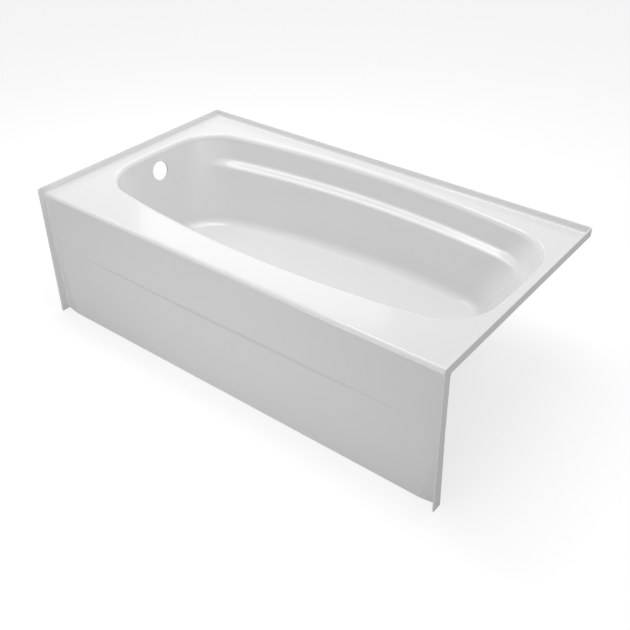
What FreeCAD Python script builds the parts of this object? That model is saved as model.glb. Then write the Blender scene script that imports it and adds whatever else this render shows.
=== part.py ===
import FreeCAD, Part
import os
from math import atan, atan2, cos, degrees, hypot, pi, radians, sin, sqrt, tan

# Alcove bathtub with its own apron and tiling flanges, in millimetres.
# x runs along the tub with the drain end at -x, the apron faces -y, and z points up.
# The origin is the middle of the footprint, on the floor.

# Overall size
LENGTH = 1524.0
DEPTH = 835.0
DECK = 453.0
FLANGE_RISE = 23.4

# Moulded skin
SKIN = 3.2
FLANGE_WALL = 4.8
REACH = 21.0
ROLL = 14.0
END_FILLET = 5.0
BACK_FILLET = 10.0
FLANGE_CORNER = 8.0

# Apron panel: a bowed ledge between an upright upper band and a leaning lower panel
STEP_HEIGHT = 264.5
STEP_MARGIN = 67.2
STEP_RECESS = 8.0
STEP_DROP = 20.0
BEVEL_WIDTH = 52.0
BEVEL_RECESS = 8.0

# Widths of the deck round the basin
DRAIN_DECK = 47.0
REST_DECK = 38.0
FRONT_DECK = 105.5
BACK_DECK = 41.0

# Basin, with depths measured down from the deck
RIM = 20.0
RIM_DRAIN = 14.0
LIP = 6.0
LIP_REACH = 4.8
WELL = 305.0
LEDGE_DEPTH = 95.0
LEDGE_WIDTH = 29.0
LEDGE_DROP = 24.0
COVE = 38.0
UPPER_DRAFT = radians(5.5)
LOWER_DRAFT = radians(4.5)
DRAIN_DRAFT = radians(10.0)
CREASE_ANGLE = radians(28.0)
REST_LEAN_TOP = 0.90
REST_LEAN_FOOT = 0.36
FALL = 0.018
FALL_X = 90.0

# Plan of the basin: (at the rim, at the foot of the walls), with the sides' bow over half the length
SIDE_MIDDLE = (8.0, 105.0)
SIDE_BOW = (84.1513043478, 107.5266666667)
END_RADIUS = 1700.0
DRAIN_CORNER = (172.0, 178.0)
REST_CORNER = (165.0, 128.0)
CORNER_CLOSING = 0.7
COVE_CLOSING = 0.5
DRAIN_COVE_STRETCH = 1.25
REST_COVE_STRETCH = 1.5
DRAIN_LEDGE_FADE = 0.55
REST_LEDGE_FADE = 0.80

# Waste fittings' holes
OVERFLOW_RADIUS = 34.0
OVERFLOW_DEPTH = 71.5
DRAIN_RADIUS = 26.0
DRAIN_FROM_END = 215.0
DISH_RADIUS = 46.0
DISH_FLAT_RADIUS = 38.0
DISH_DEPTH = 4.0

# Glass-fibre backing and timber
BOND = 0.3
LAMINATE = 3.0
APRON_LAMINATE = 2.5
BACKING_MARGIN = 9.0
BACKING_LIFT = 6.0
BOARD = 12.0
BOARD_INSET = 14.0
BOARD_DRAIN_HOLE = 62.0
DECK_BOARD_CLEARANCE = 6.0
DECK_BOARD_MARGIN = 162.0
END_BOARD_MARGIN = 113.75
REST_BOARD_WIDTH = 17.0
APRON_BOARD_MARGIN = 102.0
APRON_BOARD_ABOVE_STEP = 17.0
SILL_MARGIN = 82.0
SILL_HEIGHT = 38.0
SILL_DEPTH = 36.0
SILL_LIFT = 3.0
UPRIGHT_WIDTH = 45.0
UPRIGHT_DEPTH = 20.0
UPRIGHT_SPACING = 480.0

# Rails and levelling feet
RAIL_FROM_END = 362.0
RAIL_WIDTH = 40.0
RAIL_HEIGHT = 25.0
RAIL_WALL = 2.5
RAIL_OVERHANG = 20.0
FOOT_INSET = 43.75
FOOT_TRAVEL = 18.0
STUD_RADIUS = 5.0
STUD_HOLE_CLEARANCE = 0.6
STUD_SPARE = 3.0
THREAD_CLEARANCE = 0.05
COLLAR_RADIUS = 8.0
COLLAR_HEIGHT = 3.0
NUT_ACROSS_FLATS = 17.0
NUT_HEIGHT = 8.0
NUT_GAP = 0.4
PAD_RADIUS = 25.0
PAD_RIM = 5.0
PAD_TOP_RADIUS = 12.0
PAD_HEIGHT = 14.0
PAD_SOCKET_FLOOR = 6.0
SCREW_SPACING = 110.0
SCREWS_PER_RAIL = 4
SCREW_RADIUS = 2.1
SCREW_BITE = 9.0
SCREW_HEAD_RADIUS = 4.5
SCREW_HEAD_HEIGHT = 3.0
SCREW_HOLE_CLEARANCE = 0.3

# Points along a quarter of the basin's outline, and rows down its walls
SIDE_STEPS = 6
CORNER_STEPS = 10
END_STEPS = 3
RIM_STEPS = 7
LEDGE_STEPS = 8
COVE_STEPS = 7
UPPER_SHARES = (0.3, 0.6, 0.85)
LOWER_SHARES = (0.12, 0.28, 0.46, 0.64, 0.82, 0.94, 1.0)

# How closely faces meet when sewn, how closely an edge is matched, and how far a hole's cutter reaches
SEAM = 0.001
EDGE_MATCH = 0.3
CUTTER_REACH = 30.0

# Derived places
V = FreeCAD.Vector
FLANGE_TOP = DECK + FLANGE_RISE
FACE_Y = -DEPTH / 2 + REACH
END_X = LENGTH / 2 - FLANGE_WALL
FLANGE_Y = DEPTH / 2 - FLANGE_WALL
BASIN_DRAIN_X = -LENGTH / 2 + DRAIN_DECK
BASIN_REST_X = LENGTH / 2 - REST_DECK
BASIN_FRONT_Y = FACE_Y + FRONT_DECK
BASIN_BACK_Y = DEPTH / 2 - BACK_DECK
BASIN_HALF = (BASIN_BACK_Y - BASIN_FRONT_Y) / 2
BASIN_Y = (BASIN_BACK_Y + BASIN_FRONT_Y) / 2
DRAIN_X = -LENGTH / 2 + DRAIN_FROM_END
RAIL_X = LENGTH / 2 - RAIL_FROM_END
FOOT_HALF_SPREAD = BASIN_HALF - FOOT_INSET
SIDE_RADIUS = [(LENGTH / 2) ** 2 / (2 * bow) for bow in SIDE_BOW]
COVE_TOP = WELL - COVE * (cos(CREASE_ANGLE) - sin(LOWER_DRAFT))
UNDER_FLOOR = SKIN + BOND + LAMINATE + BOND


def blend(start, end, share):
    return start + (end - start) * share


def smooth(share):
    share = max(0.0, min(1.0, share))
    return share * share * (3 - 2 * share)


def rounded(depth, height, reach):
    """How far a rounded edge of this height has reached inwards at a depth below the deck."""
    if depth >= height:
        return reach
    return reach * sqrt(1 - ((height - depth) / height) ** 2)


# Basin walls: how far each wall stands in from the rim, at a depth below the deck

def side_inset(depth):
    if depth <= RIM:
        return rounded(depth, RIM, RIM)
    above = min(depth, LEDGE_DEPTH) - RIM
    below = max(depth - LEDGE_DEPTH, 0)
    ledge = LEDGE_WIDTH * smooth((depth - LEDGE_DEPTH) / LEDGE_DROP + 0.5)
    return RIM + tan(UPPER_DRAFT) * above + tan(LOWER_DRAFT) * below + ledge


def plain_side_inset(depth):
    """The same wall without its ledge, as it is in the corners of the basin."""
    if depth <= RIM:
        return side_inset(depth)
    return blend(RIM, side_inset(COVE_TOP), (depth - RIM) / (COVE_TOP - RIM))


def drain_inset(depth):
    return rounded(depth, RIM, RIM_DRAIN) + tan(DRAIN_DRAFT) * max(depth - RIM, 0)


def rest_inset(depth):
    run = max(depth - LIP, 0)
    lean_change = (REST_LEAN_TOP - REST_LEAN_FOOT) / (2 * (COVE_TOP - LIP))
    return rounded(depth, LIP, LIP_REACH) + REST_LEAN_TOP * run - lean_change * run * run


def wall_depths():
    rim = [RIM * (1 - cos(pi / 2 * k / RIM_STEPS)) for k in range(RIM_STEPS + 1)]
    ledge_top = LEDGE_DEPTH - LEDGE_DROP / 2
    ledge_foot = LEDGE_DEPTH + LEDGE_DROP / 2
    upper = [blend(RIM, ledge_top, share) for share in UPPER_SHARES]
    ledge = [blend(ledge_top, ledge_foot, k / LEDGE_STEPS) for k in range(LEDGE_STEPS + 1)]
    lower = [blend(ledge_foot, COVE_TOP, share) for share in LOWER_SHARES]
    return rim + upper + ledge + lower


def basin_rows():
    """Rows down the basin: depth, side inset, plain side inset, drain inset, rest inset."""
    rows = []
    for depth in wall_depths():
        insets = (side_inset(depth), plain_side_inset(depth), drain_inset(depth), rest_inset(depth))
        rows.append((depth, *insets))
    depth, side, plain, drain, rest = rows[-1]
    start = pi / 2 - LOWER_DRAFT
    for k in range(1, COVE_STEPS + 1):
        angle = blend(start, CREASE_ANGLE, k / COVE_STEPS)
        down = COVE * (cos(angle) - cos(start))
        inward = COVE * (sin(start) - sin(angle))
        row = (depth + down, side + inward, plain + inward,
               drain + inward * DRAIN_COVE_STRETCH, rest + inward * REST_COVE_STRETCH)
        rows.append(row)
    return rows


# Basin plan: eight tangent arcs, four of them at the corners

def circles_meet(centre_a, radius_a, centre_b, radius_b):
    """The crossing of two circles that is furthest out from the basin's middle."""
    dx = centre_b[0] - centre_a[0]
    dy = centre_b[1] - centre_a[1]
    gap = hypot(dx, dy)
    along = (radius_a ** 2 - radius_b ** 2 + gap ** 2) / (2 * gap)
    aside = sqrt(max(radius_a ** 2 - along ** 2, 0.0))
    foot = (centre_a[0] + along * dx / gap, centre_a[1] + along * dy / gap)
    crossings = [(foot[0] + turn * aside * dy / gap, foot[1] - turn * aside * dx / gap) for turn in (1, -1)]
    return max(crossings, key=sum)


def arc_points(centre, radius, start, end, steps):
    angles = [blend(start, end, k / steps) for k in range(steps)]
    return [(centre[0] + radius * cos(a), centre[1] + radius * sin(a)) for a in angles]


def quarter(end, half, side_radius, corner_radius, middle):
    """Points from the middle of a side to the middle of the end beyond it."""
    side_centre = (middle, half - side_radius)
    end_centre = (end - END_RADIUS, 0.0)
    corner = circles_meet(side_centre, side_radius - corner_radius, end_centre, END_RADIUS - corner_radius)
    leave_side = atan2(corner[1] - side_centre[1], corner[0] - side_centre[0])
    meet_end = atan2(corner[1] - end_centre[1], corner[0] - end_centre[0])
    points = arc_points(side_centre, side_radius, pi / 2, leave_side, SIDE_STEPS)
    points += arc_points(corner, corner_radius, leave_side, meet_end, CORNER_STEPS)
    points += arc_points(end_centre, END_RADIUS, meet_end, 0.0, END_STEPS)
    return points


def around(rest_quarter, drain_quarter, rest_end, drain_end, mirror):
    """Joins quarters into a loop, from the back's middle by the rest end to the drain end."""
    front_rest = [mirror(item) for item in rest_quarter]
    front_drain = [mirror(item) for item in drain_quarter]
    loop = rest_quarter + [rest_end] + front_rest[:0:-1] + [front_rest[0]]
    return loop + front_drain[1:] + [drain_end] + drain_quarter[:0:-1]


def outline(row, side, share, shrink=0.0):
    """Loop of (x, y) points at one row, with the given side inset."""
    drain_end = BASIN_DRAIN_X + row[3] + shrink
    rest_end = BASIN_REST_X - row[4] - shrink
    half = BASIN_HALF - side - shrink
    middle = blend(SIDE_MIDDLE[0], SIDE_MIDDLE[1], share)
    radius = blend(SIDE_RADIUS[0], SIDE_RADIUS[1], share) - shrink
    cove = max(row[1] - side_inset(COVE_TOP), 0.0) if row[0] > COVE_TOP else 0.0
    closing = CORNER_CLOSING * min(row[1], RIM) * (1 - share) + COVE_CLOSING * cove + shrink
    drain_corner = blend(DRAIN_CORNER[0], DRAIN_CORNER[1], share) - closing
    rest_corner = blend(REST_CORNER[0], REST_CORNER[1], share) - closing
    rest = quarter(rest_end, half, radius, rest_corner, middle)
    drain = [(-x, y) for x, y in quarter(-drain_end, half, radius, drain_corner, -middle)]
    loop = around(rest, drain, (rest_end, 0.0), (drain_end, 0.0), lambda p: (p[0], -p[1]))
    return [(x, y + BASIN_Y) for x, y in loop]


def ledge_shares():
    """Share of the ledge at each point of the loop: whole along the sides, none at the ends."""
    quarters = []
    for fade in (REST_LEDGE_FADE, DRAIN_LEDGE_FADE):
        corner = [1 - smooth(k / CORNER_STEPS / fade) for k in range(CORNER_STEPS)]
        quarters.append([1.0] * SIDE_STEPS + corner + [0.0] * END_STEPS)
    return around(quarters[0], quarters[1], 0.0, 0.0, lambda share: share)


def row_points(row, shrink=0.0):
    share = max(0.0, min(1.0, (row[0] - RIM) / (COVE_TOP - RIM)))
    lean = FALL * smooth(share)
    points = []
    pairs = zip(outline(row, row[1], share, shrink), outline(row, row[2], share, shrink), ledge_shares())
    for (x, y), (plain_x, plain_y), ledge in pairs:
        px = blend(plain_x, x, ledge)
        py = blend(plain_y, y, ledge)
        points.append(V(px, py, DECK - row[0] + lean * (px - FALL_X)))
    return points


# Grids of control points, and the surfaces and solids made on them

def inner_grid():
    return [row_points(row) for row in basin_rows()]


def offset_grid(grid, distance):
    """The same grid moved outwards by a wall thickness; its first row only drops."""
    count = len(grid[0])
    moved = [[point - V(0, 0, distance) for point in grid[0]]]
    for j in range(1, len(grid)):
        upper = grid[j - 1]
        lower = grid[min(j + 1, len(grid) - 1)]
        row = []
        for i in range(count):
            along = grid[j][(i + 1) % count] - grid[j][i - 1]
            normal = along.cross(lower[i] - upper[i])
            normal.normalize()
            row.append(grid[j][i] + normal * distance)
        moved.append(row)
    floor_normal = V(-FALL, 0, 1).normalize()
    moved[-1] = []
    for i in range(count):
        along = grid[-1][(i + 1) % count] - grid[-1][i - 1]
        outward = along.cross(floor_normal).normalize()
        widen = distance * tan(CREASE_ANGLE / 2)
        moved[-1].append(grid[-1][i] - floor_normal * distance + outward * widen)
    return moved


def grid_surface(grid):
    """Cubic surface, closed round the basin and clamped at its top and foot."""
    around_count = len(grid[0])
    down_count = len(grid)
    poles = [[grid[j][i] for j in range(down_count)] for i in range(around_count)]
    surface = Part.BSplineSurface()
    down_knots = down_count - 2
    surface.buildFromPolesMultsKnots(
        poles, [1] * (around_count + 1), [4] + [1] * (down_knots - 2) + [4],
        [float(k) for k in range(around_count + 1)], [float(k) for k in range(down_knots)],
        True, False, 3, 3)
    return surface


def rim_wire(surface):
    return Part.Wire([surface.vIso(surface.bounds()[2]).toShape()])


def foot_face(surface):
    return Part.Face(Part.Wire([surface.vIso(surface.bounds()[3]).toShape()]))


def sewn_solid(faces):
    shell = Part.makeCompound(faces)
    shell.sewShape(SEAM)
    solid = Part.makeSolid(shell.Shells[0])
    if solid.Volume < 0:
        solid.reverse()
    return solid


def box(x0, x1, y0, y1, z0, z1):
    return Part.makeBox(x1 - x0, y1 - y0, z1 - z0, V(x0, y0, z0))


def polygon(points):
    return Part.Face(Part.makePolygon([V(*p) for p in points] + [V(*points[0])]))


def fused(shapes):
    return shapes[0].multiFuse(shapes[1:]).removeSplitter()


# Places on the sloping floor of the basin

def on_floor(shape, x=FALL_X, y=BASIN_Y, below=0.0):
    """Lays a shape, made about the origin, on the floor's slope and a distance beneath it."""
    tilt = FreeCAD.Rotation(V(0, 1, 0), -degrees(atan(FALL)))
    base = V(x, y, DECK - WELL + FALL * (x - FALL_X))
    shape.Placement = FreeCAD.Placement(base + tilt.multVec(V(0, 0, -below)), tilt)
    return shape


def rail_z(x, below_top=0.0):
    """Height of the rail's web above the floor at x, measured straight up."""
    below = (UNDER_FLOOR + BOARD + BOND + below_top) / cos(atan(FALL))
    return DECK - WELL + FALL * (x - FALL_X) - below


# Skin

def deck_and_basin():
    inside = grid_surface(inner_grid())
    outside = grid_surface(offset_grid(inner_grid(), SKIN))
    y0 = FACE_Y + ROLL
    y1 = FLANGE_Y - BACK_FILLET
    corners = [(-END_X, y0), (END_X, y0), (END_X, y1), (-END_X, y1)]
    faces = [inside.toShape(), outside.toShape(), foot_face(inside), foot_face(outside)]
    for z, hole in ((DECK, rim_wire(inside)), (DECK - SKIN, rim_wire(outside))):
        edge = Part.makePolygon([V(x, y, z) for x, y in corners + corners[:1]])
        faces.append(Part.makeFace([edge, hole], "Part::FaceMakerBullseye"))
    for (xa, ya), (xb, yb) in zip(corners, corners[1:] + corners[:1]):
        faces.append(polygon([(xa, ya, DECK), (xb, yb, DECK), (xb, yb, DECK - SKIN), (xa, ya, DECK - SKIN)]))
    return sewn_solid(faces)


def quarter_edge(centre_y, centre_z, radius, towards_y, towards_z):
    """Quarter-circle edge in a plane of constant x, from straight up or down to sideways."""
    half = radius * sqrt(0.5)
    return Part.Arc(V(0, centre_y, centre_z + towards_z * radius),
                    V(0, centre_y + towards_y * half, centre_z + towards_z * half),
                    V(0, centre_y + towards_y * radius, centre_z)).toShape()


def line(y0, z0, y1, z1):
    return Part.LineSegment(V(0, y0, z0), V(0, y1, z1)).toShape()


def front_roll():
    """Rolled front edge of the deck and the upright upper band of the apron."""
    y0 = FACE_Y + ROLL
    z0 = DECK - ROLL
    wire = Part.Wire(Part.__sortEdges__([
        quarter_edge(y0, z0, ROLL, -1, 1), line(FACE_Y, z0, FACE_Y, STEP_HEIGHT),
        line(FACE_Y, STEP_HEIGHT, FACE_Y + SKIN, STEP_HEIGHT),
        line(FACE_Y + SKIN, STEP_HEIGHT, FACE_Y + SKIN, z0),
        quarter_edge(y0, z0, ROLL - SKIN, -1, 1), line(y0, DECK - SKIN, y0, DECK)]))
    band = Part.Face(wire).extrude(V(2 * END_X, 0, 0))
    band.translate(V(-END_X, 0, 0))
    return band


def back_flange():
    y0 = FLANGE_Y - BACK_FILLET
    z0 = DECK + BACK_FILLET
    wire = Part.Wire(Part.__sortEdges__([
        quarter_edge(y0, z0, BACK_FILLET, 1, -1), line(FLANGE_Y, z0, FLANGE_Y, FLANGE_TOP),
        line(FLANGE_Y, FLANGE_TOP, DEPTH / 2, FLANGE_TOP),
        line(DEPTH / 2, FLANGE_TOP, DEPTH / 2, DECK - SKIN),
        line(DEPTH / 2, DECK - SKIN, y0, DECK - SKIN), line(y0, DECK - SKIN, y0, DECK)]))
    flange = Part.Face(wire).extrude(V(2 * END_X, 0, 0))
    flange.translate(V(-END_X, 0, 0))
    return flange


def end_flange(x):
    """L-shaped plate in the plane of one end: a band on the deck and a band down the apron."""
    front = -DEPTH / 2
    inner = FACE_Y + SKIN
    bend = ROLL - SKIN
    corner = FLANGE_CORNER
    wire = Part.Wire(Part.__sortEdges__([
        line(front, 0, front, FLANGE_TOP - corner),
        quarter_edge(front + corner, FLANGE_TOP - corner, corner, -1, 1),
        line(front + corner, FLANGE_TOP, DEPTH / 2, FLANGE_TOP),
        line(DEPTH / 2, FLANGE_TOP, DEPTH / 2, DECK - SKIN),
        line(DEPTH / 2, DECK - SKIN, inner + bend, DECK - SKIN),
        quarter_edge(inner + bend, DECK - ROLL, bend, -1, 1),
        line(inner, DECK - ROLL, inner, STEP_HEIGHT), line(inner, STEP_HEIGHT, inner + BEVEL_RECESS, 0),
        line(inner + BEVEL_RECESS, 0, front, 0)]))
    plate = Part.Face(wire).extrude(V(FLANGE_WALL, 0, 0))
    plate.translate(V(x, 0, 0))
    return plate


def apron_sheet(face_y, wall):
    """Lower part of the apron, as a sheet of the given wall behind a face."""
    step = END_X - STEP_MARGIN
    top = STEP_HEIGHT
    middle = V(0, face_y + STEP_RECESS, top - STEP_DROP)
    bow = Part.Arc(V(-step, face_y, top), middle, V(step, face_y, top)).toShape()
    upper_edge = Part.LineSegment(V(-step, face_y, top), V(step, face_y, top)).toShape()
    lower_edge = Part.LineSegment(V(-step, face_y, 0), V(step, face_y, 0)).toShape()
    patches = [Part.Face(Part.Wire([bow, upper_edge])), Part.makeRuledSurface(bow, lower_edge)]
    for side in (-1, 1):
        bevel = side * (END_X - BEVEL_WIDTH)
        end = side * END_X
        patches.append(polygon([(side * step, face_y, top), (end, face_y, top),
                                (bevel, face_y, 0), (side * step, face_y, 0)]))
        patches.append(polygon([(bevel, face_y, 0), (end, face_y, top), (end, face_y + BEVEL_RECESS, 0)]))
    return fused([patch.extrude(V(0, wall, 0)) for patch in patches])


def drain_dish(top, wall):
    """Shallow dish round the drain, with its hole, to lie a distance below the floor."""
    points = [(DRAIN_RADIUS, -top - DISH_DEPTH), (DISH_FLAT_RADIUS, -top - DISH_DEPTH), (DISH_RADIUS, -top),
              (DISH_RADIUS + wall, -top), (DISH_RADIUS + wall, -top - wall), (DISH_RADIUS, -top - wall),
              (DISH_FLAT_RADIUS, -top - DISH_DEPTH - wall), (DRAIN_RADIUS, -top - DISH_DEPTH - wall)]
    section = polygon([(r, 0, z) for r, z in points])
    return on_floor(section.revolve(V(0, 0, 0), V(0, 0, 1), 360), DRAIN_X)


def with_waste_holes(shell, top, wall):
    """Cuts the overflow and fits the drain's dish in a basin shell that lies below the inner surface."""
    opening = Part.makeCylinder(DISH_RADIUS + wall / 2, 2 * CUTTER_REACH, V(0, 0, -CUTTER_REACH))
    shell = shell.cut(on_floor(opening, DRAIN_X)).fuse(drain_dish(top, wall))
    x = BASIN_DRAIN_X + drain_inset(OVERFLOW_DEPTH)
    way = V(cos(DRAIN_DRAFT), 0, sin(DRAIN_DRAFT))
    start = V(x, BASIN_Y, DECK - OVERFLOW_DEPTH) - way * CUTTER_REACH
    return shell.cut(Part.makeCylinder(OVERFLOW_RADIUS, 2 * CUTTER_REACH, start, way))


def end_edges(shape):
    """Edges where the deck, roll, apron and back flange run into the end flanges."""
    spans = [(FACE_Y + ROLL, FLANGE_Y - BACK_FILLET, DECK, DECK), (FACE_Y, FACE_Y + ROLL, DECK - ROLL, DECK),
             (FACE_Y, FACE_Y, STEP_HEIGHT, DECK - ROLL), (FACE_Y, FACE_Y + BEVEL_RECESS, 0, STEP_HEIGHT),
             (FLANGE_Y - BACK_FILLET, FLANGE_Y, DECK, DECK + BACK_FILLET),
             (FLANGE_Y, FLANGE_Y, DECK + BACK_FILLET, FLANGE_TOP)]
    found = []
    for edge in shape.Edges:
        bounds = edge.BoundBox
        at_end = abs(abs(bounds.Center.x) - END_X) < EDGE_MATCH and bounds.XLength < EDGE_MATCH
        extent = (bounds.YMin, bounds.YMax, bounds.ZMin, bounds.ZMax)
        if at_end and any(max(abs(a - b) for a, b in zip(extent, span)) < EDGE_MATCH for span in spans):
            found.append(edge)
    return found


def back_corner(side):
    """What is cut away to round the upright corner where the back and end flanges meet."""
    r = FLANGE_CORNER
    x = side * (LENGTH / 2 - r)
    y = DEPTH / 2 - r
    low = DECK - 2 * SKIN
    high = FLANGE_TOP + SKIN
    block = box(min(x, x + side * 2 * r), max(x, x + side * 2 * r), y, y + 2 * r, low, high)
    return block.cut(Part.makeCylinder(r, high - low, V(x, y, low)))


def tub_skin():
    pieces = [front_roll(), back_flange(), apron_sheet(FACE_Y, SKIN)]
    pieces += [end_flange(-LENGTH / 2), end_flange(END_X)]
    skin = deck_and_basin().multiFuse(pieces).Solids[0]
    skin = skin.makeFillet(END_FILLET, end_edges(skin))
    skin = skin.cut(Part.makeCompound([back_corner(-1), back_corner(1)]))
    return with_waste_holes(skin, 0.0, SKIN)


# Backing and timber

def level_point(column, z):
    """Point at a height on the line through a column of grid points that goes down a wall."""
    for upper, lower in zip(column, column[1:]):
        if upper.z >= z > lower.z:
            return upper + (lower - upper) * ((upper.z - z) / (upper.z - lower.z))
    raise ValueError("the wall does not reach this height")


def basin_backing():
    """Glass-fibre shell bonded behind the basin, from the foot of the rim to the floor."""
    rim_rows = sum(1 for row in basin_rows() if row[0] < RIM + SEAM)
    surfaces = []
    for distance in (SKIN + BOND, SKIN + BOND + LAMINATE):
        layer = offset_grid(inner_grid(), distance)
        top = [level_point(column, DECK - RIM) for column in zip(*layer)]
        surfaces.append(grid_surface([top] + layer[rim_rows:]))
    inside, outside = surfaces
    faces = [inside.toShape(), outside.toShape(), foot_face(inside), foot_face(outside)]
    faces.append(Part.makeFace([rim_wire(outside), rim_wire(inside)], "Part::FaceMakerBullseye"))
    return with_waste_holes(sewn_solid(faces), SKIN + BOND, LAMINATE)


def apron_backing():
    y = FACE_Y + SKIN + BOND
    upper = box(-END_X, END_X, y, y + APRON_LAMINATE, STEP_HEIGHT, DECK - ROLL)
    sheet = fused([apron_sheet(y, APRON_LAMINATE), upper])
    edge = END_X - BACKING_MARGIN
    behind = y + BEVEL_RECESS + STEP_RECESS + APRON_LAMINATE
    return sheet.common(box(-edge, edge, y, behind, BACKING_LIFT, DECK - ROLL))


def floor_board():
    """Plywood board under the whole flat of the floor, open round the waste."""
    row = basin_rows()[-1]
    loop = [V(p.x, p.y, 0) for p in row_points(row, BOARD_INSET)]
    curve = Part.BSplineCurve()
    knots = [float(k) for k in range(len(loop) + 1)]
    curve.buildFromPolesMultsKnots(loop, [1] * len(knots), knots, True, 3)
    face = Part.Face(Part.Wire([curve.toShape()]))
    face.translate(V(-FALL_X, -BASIN_Y, 0))
    board = on_floor(face.extrude(V(0, 0, -BOARD)), below=UNDER_FLOOR)
    drain_hole = Part.makeCylinder(BOARD_DRAIN_HOLE, 2 * CUTTER_REACH, V(0, 0, -2 * CUTTER_REACH))
    board = board.cut(on_floor(drain_hole, DRAIN_X))
    return board.cut(Part.makeCompound(rail_screw_holes(THREAD_CLEARANCE)))


def front_deck_board():
    top = DECK - SKIN - BOND
    half = LENGTH / 2 - DECK_BOARD_MARGIN
    return box(-half, half, FACE_Y + ROLL + BOND, BASIN_FRONT_Y - DECK_BOARD_CLEARANCE, top - BOARD, top)


def back_deck_board():
    top = DECK - SKIN - BOND
    half = LENGTH / 2 - DECK_BOARD_MARGIN
    y0 = BASIN_BACK_Y + DECK_BOARD_CLEARANCE
    return box(-half, half, y0, DEPTH / 2 - DECK_BOARD_CLEARANCE, top - BOARD, top)


def drain_end_deck_board():
    top = DECK - SKIN - BOND
    half = BASIN_HALF - END_BOARD_MARGIN
    x0 = -LENGTH / 2 + DECK_BOARD_CLEARANCE
    return box(x0, BASIN_DRAIN_X - DECK_BOARD_CLEARANCE, BASIN_Y - half, BASIN_Y + half, top - BOARD, top)


def rest_end_deck_board():
    top = DECK - SKIN - BOND
    half = BASIN_HALF - END_BOARD_MARGIN
    x0 = BASIN_REST_X + DECK_BOARD_CLEARANCE
    return box(x0, x0 + REST_BOARD_WIDTH, BASIN_Y - half, BASIN_Y + half, top - BOARD, top)


def apron_board_y():
    return FACE_Y + SKIN + BOND + APRON_LAMINATE + BOND


def upper_apron_board():
    half = LENGTH / 2 - APRON_BOARD_MARGIN
    y = apron_board_y()
    top = DECK - SKIN - BOND - BOARD - DECK_BOARD_CLEARANCE
    return box(-half, half, y, y + BOARD, STEP_HEIGHT + APRON_BOARD_ABOVE_STEP, top)


def apron_sill():
    half = LENGTH / 2 - SILL_MARGIN
    lean = STEP_RECESS * (SILL_LIFT + SILL_HEIGHT) / (STEP_HEIGHT - STEP_DROP)
    y = apron_board_y() + lean
    return box(-half, half, y, y + SILL_DEPTH, SILL_LIFT, SILL_LIFT + SILL_HEIGHT)


def apron_upright(x):
    half = UPRIGHT_WIDTH / 2
    y = apron_board_y() + BOARD + BOND
    bottom = SILL_LIFT + SILL_HEIGHT + BOND
    return box(x - half, x + half, y, y + UPRIGHT_DEPTH, bottom, DECK - SKIN - BOND - BOARD - BOND)


# Rails, screws and feet

def rail_screw_places():
    first = -(SCREWS_PER_RAIL - 1) / 2 * SCREW_SPACING
    return [(side * RAIL_X, BASIN_Y + first + k * SCREW_SPACING)
            for side in (-1, 1) for k in range(SCREWS_PER_RAIL)]


def rail_screw_holes(clearance):
    """Holes for the screws, from below the rail into the board."""
    low = UNDER_FLOOR + BOARD + BOND + RAIL_WALL
    length = low + clearance - (UNDER_FLOOR + BOARD - SCREW_BITE) + BOND
    holes = []
    for x, y in rail_screw_places():
        hole = Part.makeCylinder(SCREW_RADIUS + clearance, length, V(0, 0, 0))
        holes.append(on_floor(hole, x, y, low + clearance))
    return holes


def rail_screws():
    low = UNDER_FLOOR + BOARD + BOND + RAIL_WALL + BOND
    length = low - (UNDER_FLOOR + BOARD - SCREW_BITE)
    screws = []
    for x, y in rail_screw_places():
        shank = Part.makeCylinder(SCREW_RADIUS, length)
        head = Part.makeCylinder(SCREW_HEAD_RADIUS, SCREW_HEAD_HEIGHT, V(0, 0, -SCREW_HEAD_HEIGHT))
        screws.append(on_floor(shank.fuse(head).removeSplitter(), x, y, low))
    return Part.makeCompound(screws)


def rail(x):
    """Steel channel across the tub, open downwards, with a foot at each end."""
    half = FOOT_HALF_SPREAD + RAIL_OVERHANG
    width = RAIL_WIDTH / 2
    channel = box(-width, width, -half, half, -RAIL_HEIGHT, 0)
    hollow = box(-width + RAIL_WALL, width - RAIL_WALL, -half, half, -RAIL_HEIGHT, -RAIL_WALL)
    beam = on_floor(channel.cut(hollow), x, BASIN_Y, UNDER_FLOOR + BOARD + BOND)
    radius = STUD_RADIUS + STUD_HOLE_CLEARANCE
    for side in (-1, 1):
        y = BASIN_Y + side * FOOT_HALF_SPREAD
        beam = beam.cut(Part.makeCylinder(radius, 2 * RAIL_HEIGHT, V(x, y, rail_z(x) - RAIL_HEIGHT)))
    return beam.cut(Part.makeCompound(rail_screw_holes(SCREW_HOLE_CLEARANCE)))


def foot_pad(x, y):
    """Round pad on the floor with a socket for the stud."""
    points = [(0, 0), (PAD_RADIUS, 0), (PAD_RADIUS, PAD_RIM), (PAD_TOP_RADIUS, PAD_HEIGHT), (0, PAD_HEIGHT)]
    pad = polygon([(r, 0, z) for r, z in points]).revolve(V(0, 0, 0), V(0, 0, 1), 360)
    socket = Part.makeCylinder(STUD_RADIUS + THREAD_CLEARANCE, PAD_HEIGHT, V(0, 0, PAD_SOCKET_FLOOR))
    pad = pad.cut(socket)
    pad.translate(V(x, y, 0))
    return pad


def foot_stud(x, y):
    """Stud that stands in the pad and passes up through the rail, with a collar above the pad."""
    top = rail_z(x) + NUT_GAP + NUT_HEIGHT + FOOT_TRAVEL + STUD_SPARE
    start = PAD_SOCKET_FLOOR + THREAD_CLEARANCE
    stud = Part.makeCylinder(STUD_RADIUS, top - start, V(x, y, start))
    collar = Part.makeCylinder(COLLAR_RADIUS, COLLAR_HEIGHT, V(x, y, PAD_HEIGHT + THREAD_CLEARANCE))
    return stud.fuse(collar).removeSplitter()


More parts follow.
